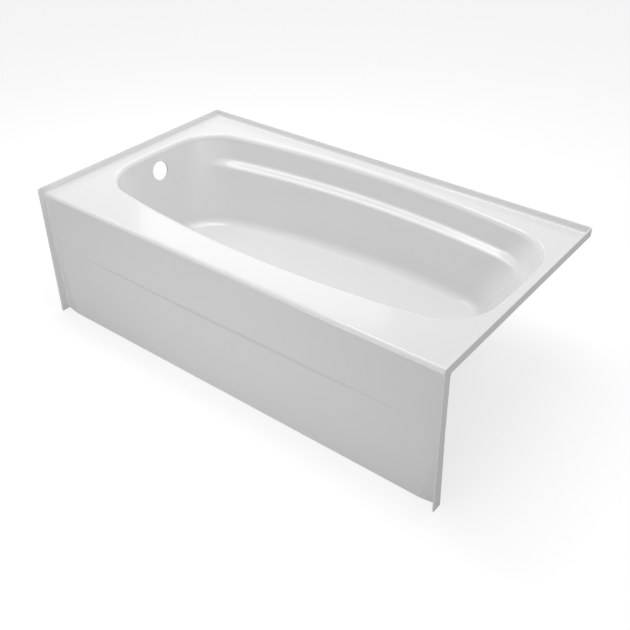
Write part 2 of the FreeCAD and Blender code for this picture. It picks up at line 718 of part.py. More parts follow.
def hexagon(x, y, z):
    radius = NUT_ACROSS_FLATS / 2 / cos(pi / 6)
    corners = [(x + radius * cos(pi / 3 * k), y + radius * sin(pi / 3 * k), z) for k in range(6)]
    nut = polygon(corners).extrude(V(0, 0, NUT_HEIGHT))
    return nut.cut(Part.makeCylinder(STUD_RADIUS + THREAD_CLEARANCE, NUT_HEIGHT, V(x, y, z)))


def lock_nuts(x, y):
    """Pair of nuts that grip the rail from above and below."""
    above = hexagon(x, y, rail_z(x) + NUT_GAP)
    below = hexagon(x, y, rail_z(x, RAIL_WALL) - NUT_GAP - NUT_HEIGHT)
    return Part.makeCompound([above, below])


def nodes():
    """Every piece by its name."""
    pieces = {"tub_skin": tub_skin(), "basin_backing": basin_backing(), "apron_backing": apron_backing(),
              "floor_board": floor_board(), "front_deck_board": front_deck_board(),
              "back_deck_board": back_deck_board(), "drain_end_deck_board": drain_end_deck_board(),
              "rest_end_deck_board": rest_end_deck_board(), "upper_apron_board": upper_apron_board(),
              "apron_sill": apron_sill(), "rail_screws": rail_screws()}
    for name, place in (("drain_end", -1), ("middle", 0), ("rest_end", 1)):
        pieces[name + "_apron_upright"] = apron_upright(place * UPRIGHT_SPACING)
    for end, x in (("drain_end", -RAIL_X), ("rest_end", RAIL_X)):
        pieces[end + "_rail"] = rail(x)
        for side, y in (("front", BASIN_Y - FOOT_HALF_SPREAD), ("back", BASIN_Y + FOOT_HALF_SPREAD)):
            place = end + "_" + side
            pieces[place + "_foot_pad"] = foot_pad(x, y)
            pieces[place + "_foot_stud"] = foot_stud(x, y)
            pieces[place + "_lock_nuts"] = lock_nuts(x, y)
    return pieces


os.makedirs("parts", exist_ok=True)
for node, shape in nodes().items():
    shape.exportStep("parts/" + node + ".step")
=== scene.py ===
from math import atan, atan2, cos, hypot, pi, radians, sin, sqrt, tan

import bmesh
import bpy
import numpy as np
from mathutils import Matrix, Vector
from mathutils.geometry import delaunay_2d_cdt


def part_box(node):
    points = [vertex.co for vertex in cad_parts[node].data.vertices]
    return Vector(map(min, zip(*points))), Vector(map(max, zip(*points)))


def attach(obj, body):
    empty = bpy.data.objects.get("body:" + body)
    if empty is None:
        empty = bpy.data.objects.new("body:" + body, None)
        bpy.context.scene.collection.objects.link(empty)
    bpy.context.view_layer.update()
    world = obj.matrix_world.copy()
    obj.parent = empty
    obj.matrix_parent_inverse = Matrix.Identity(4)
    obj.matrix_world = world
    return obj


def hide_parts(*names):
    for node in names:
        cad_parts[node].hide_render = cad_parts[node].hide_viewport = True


bl_info = {
    "name": "Alcove Bathtub",
    "version": (1, 0, 0),
    "blender": (4, 5, 0),
    "location": "View3D > Sidebar > Bathtub",
    "description": "Builds an alcove bathtub with its backing, boards, rails and levelling feet",
    "category": "Add Mesh",
}

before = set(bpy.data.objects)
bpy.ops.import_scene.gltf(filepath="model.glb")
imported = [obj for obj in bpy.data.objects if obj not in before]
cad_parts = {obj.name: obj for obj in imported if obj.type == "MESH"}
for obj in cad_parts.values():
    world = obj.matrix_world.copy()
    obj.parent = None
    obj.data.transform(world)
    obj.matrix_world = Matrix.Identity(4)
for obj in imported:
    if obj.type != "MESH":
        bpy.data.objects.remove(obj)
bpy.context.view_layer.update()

# Sizes are in millimetres until a mesh is made of them
MM = 0.001
LENGTH, DEPTH, DECK, FLANGE_TOP = 1524.0, 835.0, 453.0, 476.4
SKIN, FLANGE_WALL, REACH, ROLL = 3.2, 4.8, 21.0, 14.0
END_FILLET, BACK_FILLET, FLANGE_CORNER = 5.0, 10.0, 8.0

# Apron
STEP_HEIGHT, STEP_HALF_LENGTH, STEP_RECESS, STEP_DROP = 264.5, 690.0, 8.0, 20.0
BEVEL_WIDTH, BEVEL_RECESS, BEVEL_SOFTNESS, FOOT_SOFTNESS = 52.0, 8.0, 0.045, 1.4

# Basin, as depths below the deck and as insets from the rim
DRAIN_DECK, REST_DECK, FRONT_DECK, BACK_DECK = 47.0, 38.0, 105.5, 41.0
RIM, RIM_DRAIN, LIP, LIP_REACH, WELL = 20.0, 14.0, 6.0, 4.8, 305.0
LEDGE_DEPTH, LEDGE_WIDTH, LEDGE_DROP, COVE = 95.0, 29.0, 24.0, 38.0
UPPER_DRAFT, LOWER_DRAFT, DRAIN_DRAFT = radians(5.5), radians(4.5), radians(10.0)
CREASE_ANGLE = radians(28.0)
REST_LEAN_TOP, REST_LEAN_FOOT, FALL, FALL_X = 0.90, 0.36, 0.018, 90.0

# Plan of the basin: (at the rim, at the foot of the walls)
SIDE_MIDDLE, SIDE_RADIUS, END_RADIUS = (8.0, 105.0), (3450.0, 2700.0), 1700.0
DRAIN_CORNER, REST_CORNER = (172.0, 178.0), (165.0, 128.0)
CORNER_CLOSING, COVE_CLOSING = 0.7, 0.5
DRAIN_COVE_STRETCH, REST_COVE_STRETCH = 1.25, 1.5
DRAIN_LEDGE_FADE, REST_LEDGE_FADE = 0.55, 0.80
SIDE_STEPS, CORNER_STEPS, END_STEPS = 6, 10, 3
RIM_STEPS, LEDGE_STEPS, COVE_STEPS = 7, 8, 7
UPPER_SHARES, LOWER_SHARES = (0.3, 0.6, 0.85), (0.12, 0.28, 0.46, 0.64, 0.82, 0.94, 1.0)

# Waste holes
OVERFLOW_RADIUS, OVERFLOW_DEPTH, DRAIN_FROM_END = 34.0, 71.5, 215.0
DRAIN_RADIUS, DISH_RADIUS, DISH_FLAT_RADIUS, DISH_DEPTH = 26.0, 46.0, 38.0, 4.0
HOLE_STEPS, HOLE_BANDS, HOLE_REACH = 96, (0.0, 1.5, 4.0, 8.0), (56.0, 54.0, 20.0)

# Meshing: steps are counts along a form, spans are (round, down) the basin's control grid, and margins
# are how far the closest rows keep from an edge
RIM_BAND, JOIN_WITHIN, DEGENERATE = 1.5, 0.02, 1e-6
ROLL_STEPS, FILLET_STEPS, CREST_STEPS, CORNER_TURN_STEPS, BEND_STEPS = 14, 10, 5, 8, 6
INSIDE_SPANS, OUTSIDE_SPANS = (5, 3), (3, 1)
BAND_STEPS, STEP_STEPS, LOWER_STEPS, STEP_MARGIN_UP, STEP_MARGIN_DOWN = 14, 28, 26, 5.0, 6.0
APRON_STEPS, BEVEL_STEPS, BEVEL_MARGIN, BEHIND_EVERY = 124, 26, 6.0, 4
DECK_SIDE_STEPS, DECK_BACK_STEPS, DECK_MARGIN = 32, 60, 12.0
PATCH_SCALE, PATCH_TERMS = 50.0, 5
PAD_STEPS, STUD_STEPS, NUT_STEPS, SCREW_STEPS, DOME_STEPS = 64, 40, 72, 96, 14

# Angles in degrees past which edges are sharp
SKIN_CREASE, PAD_CREASE, STUD_CREASE, NUT_CREASE, SCREW_CREASE, BOARD_CREASE = 24, 30, 35, 28, 45, 50
FLAT_ANGLE, EASED_ANGLE = 0.5, 40

# Rails, screws and feet
RAIL_X, FOOT_HALF_SPREAD, RAIL_WALL = 400.0, 290.0, 2.5
STUD_RADIUS, NUT_BORE, NUT_ACROSS_FLATS, NUT_HEIGHT, NUT_SINK = 5.0, 5.05, 17.0, 8.0, 0.45
NUT_FACE_SHARE, NUT_CHAMFER = 0.96, radians(28)
STUD_COLLAR = [(7.5, 14.05), (8.0, 14.5), (8.0, 16.6), (7.5, 17.05)]
THREAD_FOOT, THREAD_RUN_OUT = 19.0, 2.0
PAD_PROFILE = [(5.05, 6.0), (5.05, 13.6), (5.6, 14.0), (11.2, 14.0), (12.0, 13.7), (12.6, 13.1), (24.2, 5.5),
               (24.8, 5.0), (25.0, 4.4), (25.0, 0.8), (24.6, 0.2), (24.0, 0.0), (0.05, 0.0), (0.05, 6.0),
               (5.05, 6.0)]
SCREW_SPACING, SCREWS_PER_RAIL = 110.0, 4
HEAD_RADIUS, HEAD_HEIGHT, DOME_DROP = 4.5, 2.9, 0.55
SHANK_RADIUS, SHANK_LENGTH, TIP_RADIUS, SCREW_LENGTH = 2.1, 11.0, 0.4, 12.2
RECESS_HALF_WIDTH, RECESS_REACH, RECESS_DEPTH = 0.55, 2.6, 1.5

# Layers under the basin's floor, from the skin down to the screws' seat
BOND, BACKING, FLOOR_BOARD = 0.3, 3.0, 12.0
SCREW_SEAT = SKIN + BOND + BACKING + BOND + FLOOR_BOARD + BOND + RAIL_WALL + BOND

# Stage, in metres: each lamp's place, what it points at, its width and its height
LAMPS = {"ceiling": ((0.0, 0.25, 2.9), (0.0, 0.1, 0.3), 2.2, 1.4),
         "ledge": ((-1.30, 0.0, 2.45), (0.0, 0.25, 0.36), 0.35, 2.0),
         "rear": ((-1.13, 1.05, 1.6), (0.0, -0.3, 0.45), 1.3, 0.7),
         "side": ((3.0, -1.0, 1.2), (0.2, 0.0, 0.35), 2.4, 1.4),
         "front": ((-0.1, -1.9, 0.26), (-0.1, -0.4, 0.22), 1.1, 0.4)}
FLOOR_HALF, FLOOR_GLOW, FLOOR_GLOSS = 14.0, 0.68, 0.35
LENS, SENSOR, SHIFT, VIEW_END = 50.136, 36.0, (-0.0173, -0.0531), 100.0
CAMERA_PLACE = Vector((1.5184, -1.8440, 1.7673))
CAMERA_TURN = Matrix(((0.792193, -0.330483, 0.513041), (0.610240, 0.437409, -0.660516),
                      (-0.006120, 0.836334, 0.548186)))

# Derived places
FACE_Y = -DEPTH / 2 + REACH
INNER_X = LENGTH / 2 - FLANGE_WALL
FOOT_X = INNER_X - END_FILLET
FLANGE_Y = DEPTH / 2 - FLANGE_WALL
DECK_FRONT = FACE_Y + ROLL
DECK_BACK = FLANGE_Y - BACK_FILLET
BASIN_DRAIN_X = -LENGTH / 2 + DRAIN_DECK
BASIN_REST_X = LENGTH / 2 - REST_DECK
BASIN_HALF = (DEPTH / 2 - BACK_DECK - FACE_Y - FRONT_DECK) / 2
BASIN_Y = (DEPTH / 2 - BACK_DECK + FACE_Y + FRONT_DECK) / 2
DRAIN_X = -LENGTH / 2 + DRAIN_FROM_END
COVE_TOP = WELL - COVE * (cos(CREASE_ANGLE) - sin(LOWER_DRAFT))

FEET = [(end, side, (-1 if end == "drain_end" else 1) * RAIL_X,
         BASIN_Y + (-1 if side == "front" else 1) * FOOT_HALF_SPREAD)
        for end in ("drain_end", "rest_end") for side in ("front", "back")]


# ---------------------------------------------------------------- settings

def length_setting(name, description, default, least):
    """A length in metres that has a least value."""
    return bpy.props.FloatProperty(name=name, description=description, default=default, min=least,
                                   unit="LENGTH")


def colour_setting(name, description, *default):
    """A colour as linear red, green and blue."""
    return bpy.props.FloatVectorProperty(name=name, description=description, default=default, size=3,
                                         subtype="COLOR")


def power_setting(name, description, default):
    """A lamp's power in watts."""
    return bpy.props.FloatProperty(name=name, description=description, default=default, min=0.0, unit="POWER")


class BathtubSizes(bpy.types.PropertyGroup):
    """Sizes of the finish that a user may change."""
    edge_radius: length_setting("Flange edge", "Radius of the flanges' edges", 0.0012, 0.0003)
    step_radius: length_setting("Apron step", "Radius that softens the apron's step", 0.0022, 0.0005)
    hole_radius: length_setting("Hole edge", "Radius of the waste holes' edges", 0.0012, 0.0003)
    board_easing: length_setting("Board edge", "Easing of the boards' edges", 0.0008, 0.0002)
    steel_easing: length_setting("Steel edge", "Easing of the rails' edges", 0.0005, 0.0001)
    thread_pitch: length_setting("Thread pitch", "Rise of the studs' thread in one turn", 0.0015, 0.0005)
    thread_ridge: length_setting("Thread ridge", "Radius of the rounded ridge of the thread", 0.0006, 0.0002)


class BathtubColours(bpy.types.PropertyGroup):
    """Colours of the finishes."""
    acrylic: colour_setting("Acrylic", "Moulded skin", 0.82, 0.82, 0.82)
    laminate: colour_setting("Laminate", "Glass-fibre backing", 0.80, 0.79, 0.74)
    plywood: colour_setting("Plywood", "Faces of the boards", 0.62, 0.46, 0.29)
    timber: colour_setting("Timber", "Sill and posts", 0.66, 0.48, 0.28)
    steel: colour_setting("Steel", "Zinc-plated steel", 0.66, 0.68, 0.70)
    plastic: colour_setting("Plastic", "Foot pads", 0.020, 0.020, 0.022)


class BathtubStage(bpy.types.PropertyGroup):
    """Light and floor round the tub."""
    sky: bpy.props.FloatProperty(
        name="Sky", description="Strength of the even light from all round", default=0.50, min=0.0)
    ceiling_power: power_setting("Ceiling lamp", "Power of the wide lamp above", 26.0)
    ledge_power: power_setting("Ledge lamp", "Power of the narrow lamp mirrored in the ledge", 8.4)
    rear_power: power_setting("Rear lamp", "Power of the lamp mirrored in the deck", 3.4)
    side_power: power_setting("Side lamp", "Power of the low lamp past the rest end", 6.3)
    front_power: power_setting("Front lamp", "Power of the low lamp before the apron", 6.4)
    floor: colour_setting("Floor", "Colour of the floor", 0.42, 0.42, 0.42)


# ---------------------------------------------------------------- basin formulas

def blend(start, end, share):
    """The value a share of the way from start to end."""
    return start + (end - start) * share


def smooth(share):
    """A share that leaves nought and meets one gently."""
    share = max(0.0, min(1.0, share))
    return share * share * (3 - 2 * share)


def rounded(depth, height, reach):
    """How far a rounded edge of this height has reached inwards at a depth below the deck."""
    if depth >= height:
        return reach
    return reach * sqrt(1 - ((height - depth) / height) ** 2)


def side_inset(depth):
    """How far a long side stands in from the basin's edge at a depth, ledge included."""
    if depth <= RIM:
        return rounded(depth, RIM, RIM)
    above = min(depth, LEDGE_DEPTH) - RIM
    below = max(depth - LEDGE_DEPTH, 0)
    ledge = LEDGE_WIDTH * smooth((depth - LEDGE_DEPTH) / LEDGE_DROP + 0.5)
    return RIM + tan(UPPER_DRAFT) * above + tan(LOWER_DRAFT) * below + ledge


def plain_side_inset(depth):
    """The same wall without its ledge, as it is in the corners of the basin."""
    if depth <= RIM:
        return side_inset(depth)
    return blend(RIM, side_inset(COVE_TOP), (depth - RIM) / (COVE_TOP - RIM))


def drain_inset(depth):
    """The same at the drain end, which is straight."""
    return rounded(depth, RIM, RIM_DRAIN) + tan(DRAIN_DRAFT) * max(depth - RIM, 0)


def rest_inset(depth):
    """The same at the back rest, which steepens as it goes down."""
    run = max(depth - LIP, 0)
    lean_change = (REST_LEAN_TOP - REST_LEAN_FOOT) / (2 * (COVE_TOP - LIP))
    return rounded(depth, LIP, LIP_REACH) + REST_LEAN_TOP * run - lean_change * run * run


def wall_depths():
    """Depths of the wall's rows, from the deck to the top of the cove; close together on the ledge."""
    rim = [RIM * (1 - cos(pi / 2 * k / RIM_STEPS)) for k in range(RIM_STEPS + 1)]
    ledge_top = LEDGE_DEPTH - LEDGE_DROP / 2
    ledge_foot = LEDGE_DEPTH + LEDGE_DROP / 2
    upper = [blend(RIM, ledge_top, share) for share in UPPER_SHARES]
    ledge = [blend(ledge_top, ledge_foot, k / LEDGE_STEPS) for k in range(LEDGE_STEPS + 1)]
    lower = [blend(ledge_foot, COVE_TOP, share) for share in LOWER_SHARES]
    return rim + upper + ledge + lower


def basin_rows():
    """Rows down the basin: depth, side inset, plain side inset, drain inset, rest inset."""
    rows = [(d, side_inset(d), plain_side_inset(d), drain_inset(d), rest_inset(d)) for d in wall_depths()]
    depth, side, plain, drain, rest = rows[-1]
    start = pi / 2 - LOWER_DRAFT
    for k in range(1, COVE_STEPS + 1):
        angle = blend(start, CREASE_ANGLE, k / COVE_STEPS)
        down = COVE * (cos(angle) - cos(start))
        inward = COVE * (sin(start) - sin(angle))
        rows.append((depth + down, side + inward, plain + inward,
                     drain + inward * DRAIN_COVE_STRETCH, rest + inward * REST_COVE_STRETCH))
    return rows


def circles_meet(centre_a, radius_a, centre_b, radius_b):
    """The crossing of two circles that is furthest out from the basin's middle."""
    dx = centre_b[0] - centre_a[0]
    dy = centre_b[1] - centre_a[1]
    gap = hypot(dx, dy)
    along = (radius_a ** 2 - radius_b ** 2 + gap ** 2) / (2 * gap)
    aside = sqrt(max(radius_a ** 2 - along ** 2, 0.0))
    foot = (centre_a[0] + along * dx / gap, centre_a[1] + along * dy / gap)
    crossings = [(foot[0] + turn * aside * dy / gap, foot[1] - turn * aside * dx / gap) for turn in (1, -1)]
    return max(crossings, key=sum)


def arc_points(centre, radius, start, end, steps):
    """Points on an arc, without the last."""
    angles = [blend(start, end, k / steps) for k in range(steps)]
    return [(centre[0] + radius * cos(a), centre[1] + radius * sin(a)) for a in angles]


def quarter(end, half, side_radius, corner_radius, middle):
    """Points from the middle of a side to the middle of the end beyond it."""
    side_centre = (middle, half - side_radius)
    end_centre = (end - END_RADIUS, 0.0)
    corner = circles_meet(side_centre, side_radius - corner_radius, end_centre, END_RADIUS - corner_radius)
    leave_side = atan2(corner[1] - side_centre[1], corner[0] - side_centre[0])
    meet_end = atan2(corner[1] - end_centre[1], corner[0] - end_centre[0])
    points = arc_points(side_centre, side_radius, pi / 2, leave_side, SIDE_STEPS)
    points += arc_points(corner, corner_radius, leave_side, meet_end, CORNER_STEPS)
    points += arc_points(end_centre, END_RADIUS, meet_end, 0.0, END_STEPS)
    return points


def around(rest_quarter, drain_quarter, rest_end, drain_end, mirror):
    """Joins quarters into a loop, from the back's middle by the rest end to the drain end."""
    front_rest = [mirror(item) for item in rest_quarter]
    front_drain = [mirror(item) for item in drain_quarter]
    loop = rest_quarter + [rest_end] + front_rest[:0:-1] + [front_rest[0]]
    return loop + front_drain[1:] + [drain_end] + drain_quarter[:0:-1]


def outline(row, side, share):
    """Loop of (x, y) points at one row, with the given side inset."""
    drain_end = BASIN_DRAIN_X + row[3]
    rest_end = BASIN_REST_X - row[4]
    half = BASIN_HALF - side
    middle = blend(SIDE_MIDDLE[0], SIDE_MIDDLE[1], share)
    radius = blend(SIDE_RADIUS[0], SIDE_RADIUS[1], share)
    cove = max(row[1] - side_inset(COVE_TOP), 0.0) if row[0] > COVE_TOP else 0.0
    closing = CORNER_CLOSING * min(row[1], RIM) * (1 - share) + COVE_CLOSING * cove
    drain_corner = blend(DRAIN_CORNER[0], DRAIN_CORNER[1], share) - closing
    rest_corner = blend(REST_CORNER[0], REST_CORNER[1], share) - closing
    rest = quarter(rest_end, half, radius, rest_corner, middle)
    drain = [(-x, y) for x, y in quarter(-drain_end, half, radius, drain_corner, -middle)]
    loop = around(rest, drain, (rest_end, 0.0), (drain_end, 0.0), lambda p: (p[0], -p[1]))
    return [(x, y + BASIN_Y) for x, y in loop]


def ledge_shares():
    """Share of the ledge at each point of the loop: whole along the sides, none at the ends."""
    quarters = []
    for fade in (REST_LEDGE_FADE, DRAIN_LEDGE_FADE):
        corner = [1 - smooth(k / CORNER_STEPS / fade) for k in range(CORNER_STEPS)]
        quarters.append([1.0] * SIDE_STEPS + corner + [0.0] * END_STEPS)
    return around(quarters[0], quarters[1], 0.0, 0.0, lambda share: share)


def basin_controls():
    """Control points of the basin's inner surface, rows down by columns round."""
    grid = []
    for row in basin_rows():
        share = max(0.0, min(1.0, (row[0] - RIM) / (COVE_TOP - RIM)))
        lean = FALL * smooth(share)
        points = []
        for (x, y), (px, py), ledge in zip(outline(row, row[1], share), outline(row, row[2], share),
                                           ledge_shares()):
            x, y = blend(px, x, ledge), blend(py, y, ledge)
            points.append((x, y, DECK - row[0] + lean * (x - FALL_X)))
        grid.append(points)
    return np.array(grid)


def offset_controls(grid, distance):
    """The same grid moved outwards by a wall thickness; its first row only drops."""
    along = np.roll(grid, -1, 1) - np.roll(grid, 1, 1)
    down = np.concatenate((grid[1:], grid[-1:])) - np.concatenate((grid[:1], grid[:-1]))
    normal = np.cross(along, down)
    normal /= np.linalg.norm(normal, axis=2, keepdims=True)
    moved = grid + normal * distance
    moved[0] = grid[0] - (0, 0, distance)
    floor_normal = np.array((-FALL, 0, 1)) / hypot(FALL, 1)
    outward = np.cross(along[-1], floor_normal)
    outward /= np.linalg.norm(outward, axis=1, keepdims=True)
    moved[-1] = grid[-1] - floor_normal * distance + outward * distance * tan(CREASE_ANGLE / 2)
    return moved


def closed_weights(count, per_span):
    """Cubic spline weights of a closed row's control points, at points spaced along it."""
    weights = np.zeros((count * per_span, count))
    for k in range(count * per_span):
        span, t = divmod(k, per_span)
        t /= per_span
        shares = ((1 - t) ** 3, 3 * t ** 3 - 6 * t ** 2 + 4, -3 * t ** 3 + 3 * t ** 2 + 3 * t + 1, t ** 3)
        for shift, share in zip((-1, 0, 1, 2), shares):
            weights[k, (span + shift) % count] += share / 6
    return weights


def open_weights(count, places):
    """Cubic spline weights of an open, clamped row's control points, at places along it."""
    last = count - 3
    knots = np.concatenate(([0.0] * 3, np.arange(count - 2.0), [last] * 3))
    t = np.minimum(places, last - 1e-9)[:, None]
    weights = ((knots[:-1] <= t) & (t < knots[1:])).astype(float)
    for degree in (1, 2, 3):
        rise = knots[degree:-1] - knots[:-degree - 1]
        fall = knots[degree + 1:] - knots[1:-degree]
        left = np.divide(t - knots[:-degree - 1], rise, out=np.zeros((len(t), len(rise))), where=rise > 0)
        right = np.divide(knots[degree + 1:] - t, fall, out=np.zeros((len(t), len(fall))), where=fall > 0)
        weights = left * weights[:, :-1] + right * weights[:, 1:]
    return weights


def spline_grid(controls, round_steps, down_steps):
    """Points on the cubic surface over a grid of control points."""
    rows, columns = controls.shape[:2]
    places = np.linspace(0, rows - 3, (rows - 3) * down_steps + 1)
    down = open_weights(rows, places)
    turn = closed_weights(columns, round_steps)
    return np.einsum("ri,ijk,cj->rck", down, controls, turn)


# ---------------------------------------------------------------- mesh building

def inside_loop(points, loop):
    """Whether each flat point lies inside a closed flat loop."""
    x, y = points[:, 0][:, None], points[:, 1][:, None]
    x0, y0 = loop[:, 0], loop[:, 1]
    x1, y1 = np.roll(x0, -1), np.roll(y0, -1)
    crosses = (y0 > y) != (y1 > y)
    height = np.where(y1 == y0, 1.0, y1 - y0)
    return ((crosses & (x < x0 + (x1 - x0) * (y - y0) / height)).sum(1) % 2) == 1


def as_points(*parts):
    """Puts coordinates, each an array or one number, side by side as points."""
    return np.stack(np.broadcast_arrays(*parts), -1)


class Shell:
    """Points and faces of one mesh, in millimetres, joined where their points meet."""

    def __init__(self):
        self.points = []
        self.faces = []
        self.count = 0

    def add(self, points):
        points = np.asarray(points, float)
        flat = points.reshape(-1, 3)
        ids = np.arange(self.count, self.count + len(flat)).reshape(points.shape[:-1])
        self.points.append(flat)
        self.count += len(flat)
        return ids

    def quads(self, points, closed):
        """Adds a grid of points, and gives the four corners of each square between them."""
        ids = self.add(points)
        if closed:
            ids = np.concatenate((ids, ids[:, :1]), 1)
        return np.stack((ids[:-1, :-1], ids[:-1, 1:], ids[1:, 1:], ids[1:, :-1]), -1)

    def sheet(self, points, closed=False):
        """Quads over a grid of points; closed joins its last column to its first."""
        self.faces += self.quads(points, closed).reshape(-1, 4).tolist()

    def flat(self, outer, hole=None, plan=None):
        """Triangles between a loop and a hole in it, laid out by a plan, which is x and y if not given."""
        loops = [np.asarray(loop, float) for loop in (outer, hole) if loop is not None]
        points = np.concatenate(loops)
        layout = points[:, :2] if plan is None else plan(points)
        edges = []
        start = 0
        for loop in loops:
            count = len(loop)
            edges += [(start + k, start + (k + 1) % count) for k in range(count)]
            start += count
        layout_2d = [Vector(p) for p in layout]
        _, _, faces, origins, _, _ = delaunay_2d_cdt(layout_2d, edges, [], 0, DEGENERATE)
        source = [origin[0] for origin in origins]
        faces = np.array([[source[k] for k in face] for face in faces])
        middles = layout[faces].mean(1)
        keep = inside_loop(middles, layout[:len(loops[0])])
        if hole is not None:
            keep &= ~inside_loop(middles, layout[len(loops[0]):len(loops[0]) + len(loops[1])])
        ids = self.add(points)
        self.faces += ids[faces[keep]].tolist()

    def mesh(self, name, sharp):
        """The finished mesh in metres, closed and facing outwards, with edges past an angle sharp."""
        mesh = bpy.data.meshes.new(name)
        mesh.from_pydata((np.concatenate(self.points) * MM).tolist(), [], self.faces)
        form = bmesh.new()
        form.from_mesh(mesh)
        bmesh.ops.remove_doubles(form, verts=form.verts, dist=JOIN_WITHIN * MM)
        bmesh.ops.dissolve_degenerate(form, edges=form.edges, dist=DEGENERATE)
        bmesh.ops.recalc_face_normals(form, faces=form.faces)
        if form.calc_volume(signed=True) < 0:
            bmesh.ops.reverse_faces(form, faces=form.faces)
        form.to_mesh(mesh)
        form.free()
        return shade(mesh, sharp)


def full_turn(steps):
    """Angles spaced round one turn."""
    return np.arange(steps) * 2 * pi / steps


def lathe(shell, profile, x, y, steps):
    """Turns a line of (radius, height) points round an upright axis."""
    turn = full_turn(steps)
    radius, height = np.array(profile).T[:, :, None]
    shell.sheet(as_points(radius * np.cos(turn) + x, radius * np.sin(turn) + y, height), closed=True)


def corner_arc(start, corner, end, steps):
    """Arc that leaves a line towards a corner and comes out along the next; arrays give many at once."""
    t = np.linspace(0, 1, steps + 1)
    shares = np.stack(((1 - t) ** 2, sqrt(2) * t * (1 - t), t ** 2))
    shares = shares / shares.sum(0)
    points = np.stack((start, corner, end))
    return np.einsum("ks,kp...->ps...", shares, points)


def shade(mesh, sharp):
    """Shades a mesh smooth, but for edges past an angle in degrees."""
    mesh.shade_smooth()
    mesh.set_sharp_from_angle(angle=radians(sharp))
    return mesh


def new_object(name, data):
    """An object of a mesh, lamp or camera, in the scene."""
    item = bpy.data.objects.new(name, data)
    bpy.context.scene.collection.objects.link(item)
    return item


def place(mesh, body, nodes, material):
    """Makes an object of a mesh, and says what it rides on and stands for."""
    piece = new_object(mesh.name, mesh)
    mesh.materials.clear()
    mesh.materials.append(material)
    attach(piece, body)
    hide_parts(*nodes)


# ---------------------------------------------------------------- moulded skin

def soft_ramp(distance, radius):
    """Zero before a corner and the distance past it, rounded within a radius of it."""
    return np.where(distance > radius, distance,
                    np.where(distance < -radius, 0.0, (distance + radius) ** 2 / (4 * radius)))


def bow_share(x):
    """How much of the apron's bow is left at each x: one in the middle, none past the ends of the step."""
    return np.maximum(0.0, 1 - (x / STEP_HALF_LENGTH) ** 2)


def apron_recess(x, z, radius):
    """How far the apron stands back from its upper band."""
    bow = bow_share(x)
    foot = STEP_HEIGHT - STEP_DROP * bow
    slope = STEP_RECESS / STEP_DROP
    step = slope * soft_ramp(STEP_HEIGHT - z, radius)
    step = step - (slope + STEP_RECESS * bow / foot) * soft_ramp(foot - z, radius * FOOT_SOFTNESS)
    step = np.where(bow > 0, step, 0.0)
    across = (np.minimum(np.abs(x), INNER_X) - (INNER_X - BEVEL_WIDTH)) / BEVEL_WIDTH - z / STEP_HEIGHT
    return np.maximum(step, 0.0) + BEVEL_RECESS * soft_ramp(across, BEVEL_SOFTNESS)


def apron_heights(x):
    """Heights of the apron's rows at each x, from the roll down; rows follow the bowed step."""
    straight = STEP_HEIGHT + STEP_MARGIN_UP
    bowed = STEP_HEIGHT - STEP_DROP * bow_share(x) - STEP_MARGIN_DOWN
    upper = [np.full_like(x, z) for z in np.linspace(DECK - ROLL, straight, BAND_STEPS + 1)]
    step = [blend(straight, bowed, share) for share in np.linspace(0, 1, STEP_STEPS + 1)[1:]]
    lower = [blend(bowed, 0.0, share) for share in np.linspace(0, 1, LOWER_STEPS + 1)[1:]]
    return np.stack(upper + step + lower)


def apron_stations():
    """Places along the apron between the feet of its end fillets, close together at the bevels."""
    bevel = INNER_X - BEVEL_WIDTH - BEVEL_MARGIN
    middle = np.linspace(-bevel, bevel, APRON_STEPS + 1)
    end = np.linspace(bevel, FOOT_X, BEVEL_STEPS + 1)[1:]
    return np.concatenate((-end[::-1], middle, end))


def roll_normals():
    """Directions round the rolled edge, from the apron's face up to the deck, as (y, z)."""
    angles = np.linspace(pi / 2, 0, ROLL_STEPS + 1)
    return as_points(-np.sin(angles), np.cos(angles))


